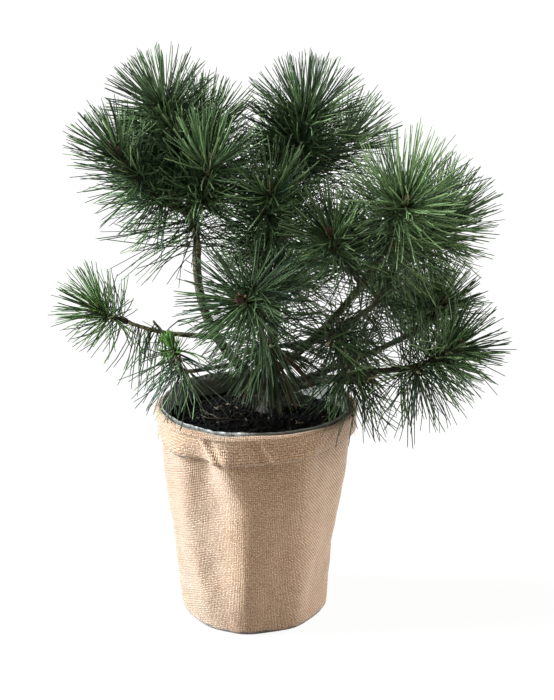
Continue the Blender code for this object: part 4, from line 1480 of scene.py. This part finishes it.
def cloth_ribs(group, parts, vector, amount):
    """Slanting ribs of the sheared cloth, from -0.5 to 0.5, how much they show and their contrast.
    They fall one way on one side and the other way on the other, and leave the front square."""
    turn = calc(group, "MULTIPLY_ADD", parts["X"], 1 / WRAP_RADIUS, -RIB_FRONT)
    side = calc(group, "COSINE", turn)
    on_right = calc(group, "GREATER_THAN", side, 0.0)
    phases = []
    for family in (RIBS_LEFT, RIBS_RIGHT):
        slanted = calc(group, "MULTIPLY_ADD", parts["X"], -family.slope, parts["Y"])
        phases.append(calc(group, "DIVIDE", slanted, family.spacing))
    left, right = phases
    phase = calc(group, "MULTIPLY_ADD", calc(group, "SUBTRACT", right, left), on_right, left)
    ribs = calc(group, "MULTIPLY", calc(group, "SINE", calc(group, "MULTIPLY", phase, math.tau)), 0.5)
    patches = noise_of(group, vector, 55, 2)
    shown = calc(group, "MULTIPLY", ramp(group, calc(group, "ABSOLUTE", side), 0.20, 0.62), calc(
        group, "MULTIPLY", amount, ramp(group, patches.outputs["Fac"], 0.35, 0.65, 0.60, 1.0)))
    contrast = calc(
        group, "MULTIPLY_ADD", on_right, RIBS_RIGHT.contrast - RIBS_LEFT.contrast, RIBS_LEFT.contrast)
    return ribs, shown, contrast


def weave_group():
    """Plain weave: crossing threads that pass over and under each other, with slubs and gaps."""
    group, given, wanted = new_group(
        "plain_weave",
        [("Vector", "NodeSocketVector", None), ("Pitch", "NodeSocketFloat", 0.0015),
         ("Thread", "NodeSocketColor", None), ("Dark thread", "NodeSocketColor", None),
         ("Gap", "NodeSocketColor", None), ("Ribs", "NodeSocketFloat", 1.0)],
        [("Color", "NodeSocketColor"), ("Height", "NodeSocketFloat")])
    vector, pitch = given.outputs["Vector"], given.outputs["Pitch"]
    wander = noise_of(group, vector, 90, 2)
    parts = parts_of(group, vector_calc(
        group, "MULTIPLY_ADD", wander.outputs["Color"], (0.0016, 0.0016, 0), vector))
    warp_at = calc(group, "DIVIDE", parts["X"], pitch)
    weft_at = calc(group, "DIVIDE", parts["Y"], pitch)
    threads = []
    for own, other, turn in ((warp_at, weft_at, 0.5), (weft_at, warp_at, -0.5)):
        number = calc(group, "FLOOR", own)
        swell = calc(group, "POWER", calc(group, "ABSOLUTE", calc(
            group, "SINE", calc(group, "MULTIPLY", own, math.pi))), 0.7)
        wave = calc(group, "SINE", calc(group, "MULTIPLY", calc(group, "ADD", other, number), math.pi))
        over = calc(group, "MULTIPLY_ADD", wave, turn, 0.5)
        chance = group.nodes.new("ShaderNodeTexWhiteNoise")
        chance.noise_dimensions = "1D"
        group.links.new(calc(group, "ADD", number, turn * 60.2), chance.inputs["W"])
        spot = group.nodes.new("ShaderNodeCombineXYZ")
        group.links.new(calc(group, "MULTIPLY", number, 3.7), spot.inputs[0])
        group.links.new(calc(group, "MULTIPLY", other, 0.22), spot.inputs[1])
        spot.inputs[2].default_value = turn * 40
        slub = noise_of(group, spot.outputs[0], 1.0, 2)
        shade = calc(group, "MULTIPLY_ADD", chance.outputs["Value"], 0.22, calc(
            group, "MULTIPLY_ADD", slub.outputs["Fac"], 1.0, -0.14))
        height = calc(group, "MULTIPLY", calc(group, "MULTIPLY", swell, over), calc(
            group, "MULTIPLY_ADD", slub.outputs["Fac"], 0.6, 0.7))
        threads.append((height, shade))
    (warp, warp_shade), (weft, weft_shade) = threads
    square = calc(group, "MAXIMUM", warp, weft)
    ribs, shown, contrast = cloth_ribs(group, parts, vector, given.outputs["Ribs"])
    slack = calc(group, "MULTIPLY_ADD", ribs, 0.30, calc(group, "MULTIPLY", square, -0.35))
    height = calc(group, "MULTIPLY_ADD", slack, shown, square)
    on_warp = calc(group, "GREATER_THAN", warp, weft)
    shade = calc(group, "ADD", calc(group, "MULTIPLY", on_warp, warp_shade), calc(
        group, "MULTIPLY", calc(group, "SUBTRACT", 1.0, on_warp), weft_shade))
    ribbed = calc(group, "MULTIPLY", ribs, shown)
    shade = calc(group, "MULTIPLY_ADD", ribbed, contrast, shade)
    flecks = noise_of(group, vector, 900, 2)
    shade = calc(group, "ADD", shade, calc(
        group, "MULTIPLY_ADD", flecks.outputs["Fac"], 7.0, -3.47))
    tint = blend_colours(
        group, ramp(group, shade, 0.16, 0.96), given.outputs["Dark thread"], given.outputs["Thread"])
    filled = ramp(group, height, 0.14, 0.66)
    colour = blend_colours(group, filled, given.outputs["Gap"], tint)
    group.links.new(colour, wanted.inputs["Color"])
    group.links.new(height, wanted.inputs["Height"])
    return group


def bark_group():
    """Cracked scales with a tint of noise, from deep cracks to pale faces."""
    group, given, wanted = new_group(
        "bark_grain",
        [("Vector", "NodeSocketVector", None), ("Scale size", "NodeSocketFloat", 0.003),
         ("Deep", "NodeSocketColor", None), ("Face", "NodeSocketColor", None),
         ("Tint", "NodeSocketColor", None), ("Tint amount", "NodeSocketFloat", 0.4)],
        [("Color", "NodeSocketColor"), ("Height", "NodeSocketFloat"),
         ("Roughness", "NodeSocketFloat")])
    vector = given.outputs["Vector"]
    rough = noise_of(group, vector, 320, 4)
    scaled = vector_calc(group, "DIVIDE", vector, given.outputs["Scale size"])
    warped = vector_calc(group, "MULTIPLY_ADD", rough.outputs["Color"], (0.8, 0.8, 0.8), scaled)
    cells = group.nodes.new("ShaderNodeTexVoronoi")
    cells.feature = "DISTANCE_TO_EDGE"
    cells.inputs["Scale"].default_value = 1.0
    group.links.new(warped, cells.inputs["Vector"])
    plate = ramp(group, cells.outputs["Distance"], 0.02, 0.22)
    patches = noise_of(group, vector, 110, 2)
    tinted = calc(group, "MULTIPLY", ramp(
        group, patches.outputs["Fac"], 0.38, 0.62), given.outputs["Tint amount"])
    face = blend_colours(group, tinted, given.outputs["Face"], given.outputs["Tint"])
    shaded = blend_colours(
        group, ramp(group, rough.outputs["Fac"], 0.32, 0.68, 0.25, 1.0), given.outputs["Deep"], face)
    colour = blend_colours(group, plate, given.outputs["Deep"], shaded)
    height = calc(group, "MULTIPLY_ADD", rough.outputs["Fac"], 0.6, plate)
    group.links.new(colour, wanted.inputs["Color"])
    group.links.new(height, wanted.inputs["Height"])
    group.links.new(ramp(group, rough.outputs["Fac"], 0.3, 0.7, 0.9, 0.6), wanted.inputs["Roughness"])
    return group


def mottle_group():
    """Two colours mixed by noise, for soil, chips, buds and film."""
    group, given, wanted = new_group(
        "mottle",
        [("Vector", "NodeSocketVector", None), ("Scale", "NodeSocketFloat", 200.0),
         ("First", "NodeSocketColor", None), ("Second", "NodeSocketColor", None)],
        [("Color", "NodeSocketColor"), ("Height", "NodeSocketFloat")])
    made = noise_of(group, given.outputs["Vector"], 200, 4)
    group.links.new(given.outputs["Scale"], made.inputs["Scale"])
    share = ramp(group, made.outputs["Fac"], 0.36, 0.66)
    group.links.new(
        blend_colours(group, share, given.outputs["First"], given.outputs["Second"]),
        wanted.inputs["Color"])
    group.links.new(made.outputs["Fac"], wanted.inputs["Height"])
    return group


def new_material(name, roughness, **sockets):
    """A material, its tree and its Principled shader, with constants on the shader's sockets."""
    made = bpy.data.materials.new(name)
    made.use_nodes = True
    shader = made.node_tree.nodes["Principled BSDF"]
    shader.inputs["Roughness"].default_value = roughness
    for title, value in sockets.items():
        socket = shader.inputs[title.replace("_", " ")]
        socket.default_value = value
    return made, made.node_tree, shader


def add_bump(tree, shader, height, distance, strength=1.0):
    bump = tree.nodes.new("ShaderNodeBump")
    bump.inputs["Strength"].default_value = strength
    bump.inputs["Distance"].default_value = distance
    tree.links.new(height, bump.inputs["Height"])
    tree.links.new(bump.outputs[0], shader.inputs["Normal"])


def surface_uv(tree):
    made = tree.nodes.new("ShaderNodeUVMap")
    made.uv_map = "surface"
    return made.outputs[0]


def object_place(tree):
    return tree.nodes.new("ShaderNodeTexCoord").outputs["Object"]


def shared_group(name, maker):
    return bpy.data.node_groups.get(name) or maker()


def mottled_material(name, roughness, scale, first, second, bump, **sockets):
    made, tree, shader = new_material(name, roughness, **sockets)
    group = shared_group("mottle", mottle_group)
    out = use_group(tree, group, object_place(tree), scale=scale, first=first, second=second)
    tree.links.new(out["Color"], shader.inputs["Base Color"])
    if bump:
        add_bump(tree, shader, out["Height"], bump)
    return made


def shade(colour, factor):
    return tuple(min(1.0, channel * factor) for channel in colour)


def bark_materials():
    look = bpy.context.scene.pine_bark
    made = []
    for name, size, face, tint, amount in (
            ("bark_old", 0.0034, look.face, look.olive, 0.35),
            ("bark_young", 0.0020, look.olive, look.face, 0.55)):
        material, tree, shader = new_material(name, 0.8)
        group = shared_group("bark_grain", bark_group)
        out = use_group(
            tree, group, surface_uv(tree), scale_size=size, deep=look.deep, face=face, tint=tint,
            tint_amount=amount)
        # Painted shade: the bark darkens towards the soil, just over the rim, where the foliage above
        # would shade it.
        height = parts_of(tree, object_place(tree))["Z"]
        trunk_painted_shade = ramp(tree, height, *(RIM_HEIGHT + level for level in PAINTED_SHADE_HEIGHTS), 0.97, 0.0)
        colour = blend_colours(tree, trunk_painted_shade, out["Color"], shade(look.deep, 0.25))
        tree.links.new(colour, shader.inputs["Base Color"])
        tree.links.new(out["Roughness"], shader.inputs["Roughness"])
        add_bump(tree, shader, out["Height"], 0.0005)
        made.append(material)
    return made


def twig_materials():
    look = bpy.context.scene.pine_bark
    return [
        mottled_material("twig_old", 0.8, 900, look.twig, shade(look.twig, 2.2), 0.0003),
        mottled_material("twig_young", 0.7, 900, shade(look.olive, 0.5), look.olive, 0.0002),
        mottled_material("twig_bark", 0.75, 420, shade(look.face, 0.35), look.olive, 0.0004),
    ]


def bud_materials():
    look = bpy.context.scene.pine_bark
    return [
        mottled_material("bud_scales", 0.5, 1200, shade(look.bud, 0.6), look.bud, 0.0002),
        mottled_material("bud_pale", 0.55, 1200, look.bud, look.bud_tip, 0.0002),
    ]


def needle_materials():
    look = bpy.context.scene.pine_needles
    made = []
    for name in TONES:
        material, _, shader = new_material("needle_" + name, 0.48, Specular_IOR_Level=0.24)
        shader.inputs["Base Color"].default_value = (*getattr(look, name), 1)
        material.diffuse_color = (*getattr(look, name), 1)
        made.append(material)
    return made


def jute_material():
    look = bpy.context.scene.pine_pot
    made, tree, shader = new_material(
        "jute_cloth", 0.60, Specular_IOR_Level=0.8, Sheen_Weight=0.55, Sheen_Roughness=0.36)
    place = object_place(tree)
    parts = parts_of(tree, place)
    group = shared_group("plain_weave", weave_group)
    out = use_group(
        tree, group, surface_uv(tree), pitch=look.weave_pitch, thread=look.thread,
        dark_thread=look.thread_dark, gap=look.gap,
        ribs=ramp(tree, parts["Z"], 0.166, 0.172, 1.0, 0.5))
    # Painted highlight: on the left side, where the key light falls, noisy patches lose part of the
    # brown tint and the cloth comes out paler and whiter.
    patches = noise_of(tree, place, 34, 2)
    outside_painted_highlight = calc(tree, "SUBTRACT", 1.0, calc(
        tree, "MULTIPLY", ramp(tree, parts["X"], -0.008, -0.030), ramp(
            tree, patches.outputs["Fac"], 0.40, 0.56, 0.30, 1.15)))
    cloth = blend_colours(tree, outside_painted_highlight, out["Color"], look.brown, "MULTIPLY")
    # Painted contact shadow: a thin dark band along the foot of the sleeve, made uneven by noise, where
    # it stands on the floor.
    contact_shadow_edge = noise_of(tree, place, 60, 3)
    foot = calc(tree, "SUBTRACT", parts["Z"], calc(
        tree, "MULTIPLY_ADD", contact_shadow_edge.outputs["Fac"], 0.0100, -0.0018))
    painted_contact_shadow = ramp(tree, foot, 0.0, 0.0007, 0.85, 0.0)
    tree.links.new(
        blend_colours(tree, painted_contact_shadow, cloth, shade(look.gap, 0.3)), shader.inputs["Base Color"])
    add_bump(tree, shader, out["Height"], 0.0009, 0.9)
    return made


def thread_material():
    look = bpy.context.scene.pine_pot
    return mottled_material("jute_threads", 0.85, 500, look.thread_dark, look.thread, 0)


def liner_material():
    look = bpy.context.scene.pine_pot
    made, tree, shader = new_material("liner_film", 0.42)
    place = object_place(tree)
    parts = parts_of(tree, place)
    crinkles = noise_of(tree, place, 260, 4, 0.65)
    near_edge = ramp(tree, parts["Z"], RIM_HEIGHT - 0.004, RIM_HEIGHT)
    front = calc(tree, "MULTIPLY", ramp(tree, parts["X"], -0.012, 0.004, 1.0, 0.12), ramp(
        tree, parts["X"], -0.062, -0.048, 0.12, 1.0))
    # Near the rim on the front-left, where the key light falls, the crinkled film turns whitish: partly
    # the film's own whitened creases, partly a painted highlight.
    pale_film_and_highlight = calc(tree, "MULTIPLY", calc(tree, "MULTIPLY", near_edge, front), ramp(
        tree, crinkles.outputs["Fac"], 0.40, 0.62))
    colour = blend_colours(tree, pale_film_and_highlight, look.liner, (0.75, 0.75, 0.74))
    tree.links.new(colour, shader.inputs["Base Color"])
    tree.links.new(ramp(tree, crinkles.outputs["Fac"], 0.3, 0.7, 0.32, 0.55), shader.inputs["Roughness"])
    add_bump(tree, shader, crinkles.outputs["Fac"], 0.0006)
    return made


def soil_material():
    look = bpy.context.scene.pine_pot
    return mottled_material(
        "soil_damp", 0.8, 420, shade(look.soil, 0.5), shade(look.soil, 1.3), 0.0008,
        Specular_IOR_Level=0.08)


def litter_materials():
    look = bpy.context.scene.pine_pot
    return [
        mottled_material(
            "crumb_dark", 0.7, 900, shade(look.soil, 0.6), shade(look.soil, 1.3), 0.0002,
            Specular_IOR_Level=0.1),
        mottled_material(
            "crumb_brown", 0.8, 900, shade(look.soil, 1.1), shade(look.soil, 2.2), 0.0002,
            Specular_IOR_Level=0.1),
        mottled_material("wood_chip", 0.75, 700, shade(look.chip, 0.12), look.chip, 0.0002),
        mottled_material("root_fibre", 0.75, 260, shade(look.chip, 0.15), shade(look.chip, 1.1), 0),
        mottled_material(
            "fallen_needle", 0.6, 260, shade(look.chip, 0.15), bpy.context.scene.pine_needles.dead, 0),
    ]


# ---------------------------------------------------------------- stage

def floor_material():
    """White paper: lit softly, and brightened a little for the camera only."""
    look = bpy.context.scene.pine_stage
    made, tree, shader = new_material("floor_paper", 0.9, Specular_IOR_Level=0.1)
    place = object_place(tree)
    grain = noise_of(tree, place, 3, 2)
    colour = blend_colours(
        tree, ramp(tree, grain.outputs["Fac"], 0.3, 0.7), shade(look.floor, 0.985), look.floor)
    tree.links.new(colour, shader.inputs["Base Color"])
    glow = tree.nodes.new("ShaderNodeEmission")
    glow.inputs["Color"].default_value = (1, 1, 1, 1)
    glow.inputs["Strength"].default_value = 1.06
    path = tree.nodes.new("ShaderNodeLightPath")
    mix = tree.nodes.new("ShaderNodeMixShader")
    tree.links.new(
        calc(tree, "MULTIPLY", path.outputs["Is Camera Ray"], look.floor_glow), mix.inputs[0])
    tree.links.new(shader.outputs[0], mix.inputs[1])
    tree.links.new(glow.outputs[0], mix.inputs[2])
    tree.links.new(mix.outputs[0], tree.nodes["Material Output"].inputs["Surface"])
    return made


def add_sun(name, azimuth, elevation, strength, softness, colour):
    """A soft light that shines from an azimuth and elevation in degrees."""
    light = bpy.data.lights.new(name, "SUN")
    light.energy, light.angle, light.color = strength, math.radians(softness), colour
    obj = bpy.data.objects.new(name, light)
    turn, lift = math.radians(azimuth), math.radians(elevation)
    source = Vector((math.cos(turn) * math.cos(lift), math.sin(turn) * math.cos(lift), math.sin(lift)))
    obj.rotation_euler = source.to_track_quat("Z", "Y").to_euler()
    bpy.context.scene.collection.objects.link(obj)


def make_stage():
    look = bpy.context.scene.pine_stage
    bm = bmesh.new()
    bmesh.ops.create_grid(bm, x_segments=8, y_segments=8, size=14)
    bmesh.ops.translate(bm, verts=bm.verts, vec=(0, 0, -0.0002))
    floor = object_from(bm, "floor")
    floor.data.materials.append(floor_material())

    world = bpy.data.worlds.new("studio_room")
    world.use_nodes = True
    world.node_tree.nodes["Background"].inputs["Color"].default_value = ROOM_COLOUR
    world.node_tree.nodes["Background"].inputs["Strength"].default_value = look.sky
    bpy.context.scene.world = world
    add_sun("key_light", 180, 28, look.key, 28, KEY_COLOUR)
    add_sun("fill_light", 18, 27, look.fill, 55, FILL_COLOUR)

    data = bpy.data.cameras.new("camera")
    data.sensor_fit = "AUTO"
    data.sensor_width = SENSOR
    data.lens = FOCAL_PIXELS * SENSOR / IMAGE_HEIGHT
    data.clip_start, data.clip_end = 0.02, 60
    camera = bpy.data.objects.new("camera", data)
    camera.location = CAMERA_PLACE
    camera.rotation_euler = (math.radians(90 - CAMERA_PITCH), 0, 0)
    bpy.context.scene.collection.objects.link(camera)
    bpy.context.scene.camera = camera
    bpy.context.scene.view_settings.view_transform = "Standard"


# ---------------------------------------------------------------- operators

class PINE_OT_limbs(Operator):
    """Make the trunk and boughs with their bark"""

    bl_idname = "pine.limbs"
    bl_label = "Trunk and boughs"

    def execute(self, context):
        noise.seed_set(BARK_SEED)
        materials = bark_materials()
        for name, limb in BOUGHS.items():
            make_limb(name, limb, materials, context.scene.pine_bark.relief)
        return {"FINISHED"}


class PINE_OT_twigs(Operator):
    """Make the twigs that carry the needles"""

    bl_idname = "pine.twigs"
    bl_label = "Twigs"

    def execute(self, context):
        materials = twig_materials()
        for mass in MASSES:
            heap = Heap()
            for twig in grow_twigs(mass):
                add_twig(heap, twig)
            finish_piece(heap.make(mass.replace("foliage", "twigs")), materials, "bark", mass)
        return {"FINISHED"}


class PINE_OT_buds(Operator):
    """Make the clusters of winter buds at the ends of the twigs"""

    bl_idname = "pine.buds"
    bl_label = "Buds"

    def execute(self, context):
        materials = bud_materials()
        for mass, (seed, _) in MASSES.items():
            heap, rng = Heap(), random.Random(seed + 100)
            for twig in grow_twigs(mass):
                if twig.look not in BUDLESS:
                    add_bud_cluster(heap, twig, rng)
            if heap.count:
                finish_piece(heap.make(mass.replace("foliage", "buds")), materials, "bark", mass)
        return {"FINISHED"}


class PINE_OT_needles(Operator):
    """Make the pairs of needles"""

    bl_idname = "pine.needles"
    bl_label = "Needles"

    def execute(self, context):
        materials, obstacles = needle_materials(), Obstacles()
        for mass in MASSES:
            make_needles(mass, materials, obstacles)
        return {"FINISHED"}


class PINE_OT_sleeve(Operator):
    """Make the jute sleeve with its folds, cuff and loose threads"""

    bl_idname = "pine.sleeve"
    bl_label = "Jute sleeve"

    def execute(self, context):
        make_sleeve([jute_material()])
        make_frayed_threads([thread_material()])
        return {"FINISHED"}


class PINE_OT_liner(Operator):
    """Make the plastic pot inside the jute"""

    bl_idname = "pine.liner"
    bl_label = "Liner"

    def execute(self, context):
        make_liner([liner_material()])
        return {"FINISHED"}


class PINE_OT_soil(Operator):
    """Make the soil with its crumbs, chips and fallen needles"""

    bl_idname = "pine.soil"
    bl_label = "Soil"

    def execute(self, context):
        make_soil([soil_material()])
        make_litter(litter_materials())
        return {"FINISHED"}


class PINE_OT_stage(Operator):
    """Set the floor, the lights and the camera"""

    bl_idname = "pine.stage"
    bl_label = "Stage"

    def execute(self, context):
        make_stage()
        return {"FINISHED"}


class PINE_PT_panel(Panel):
    """Lists the pieces of the pine in the sidebar"""

    bl_idname = "PINE_PT_panel"
    bl_label = "Potted mountain pine"
    bl_space_type = "VIEW_3D"
    bl_region_type = "UI"
    bl_category = "Pine"

    def draw(self, context):
        for operator in OPERATORS:
            self.layout.operator(operator.bl_idname)
        for group in (context.scene.pine_needles, context.scene.pine_bark,
                      context.scene.pine_pot, context.scene.pine_stage):
            column = self.layout.column(align=True)
            for name in group.__annotations__:
                column.prop(group, name)


SETTINGS = (PineNeedleSettings, PineBarkSettings, PinePotSettings, PineStageSettings)
OPERATORS = (
    PINE_OT_limbs, PINE_OT_twigs, PINE_OT_buds, PINE_OT_needles, PINE_OT_sleeve, PINE_OT_liner,
    PINE_OT_soil, PINE_OT_stage,
)


def register():
    for each in (*SETTINGS, *OPERATORS, PINE_PT_panel):
        bpy.utils.register_class(each)
    bpy.types.Scene.pine_needles = PointerProperty(type=PineNeedleSettings)
    bpy.types.Scene.pine_bark = PointerProperty(type=PineBarkSettings)
    bpy.types.Scene.pine_pot = PointerProperty(type=PinePotSettings)
    bpy.types.Scene.pine_stage = PointerProperty(type=PineStageSettings)


def unregister():
    for name in ("pine_needles", "pine_bark", "pine_pot", "pine_stage"):
        delattr(bpy.types.Scene, name)
    for each in reversed((*SETTINGS, *OPERATORS, PINE_PT_panel)):
        bpy.utils.unregister_class(each)


def main():
    register()
    bpy.ops.pine.limbs()
    bpy.ops.pine.twigs()
    bpy.ops.pine.buds()
    bpy.ops.pine.needles()
    bpy.ops.pine.sleeve()
    bpy.ops.pine.liner()
    bpy.ops.pine.soil()
    bpy.ops.pine.stage()


if __name__ == "__main__":
    main()
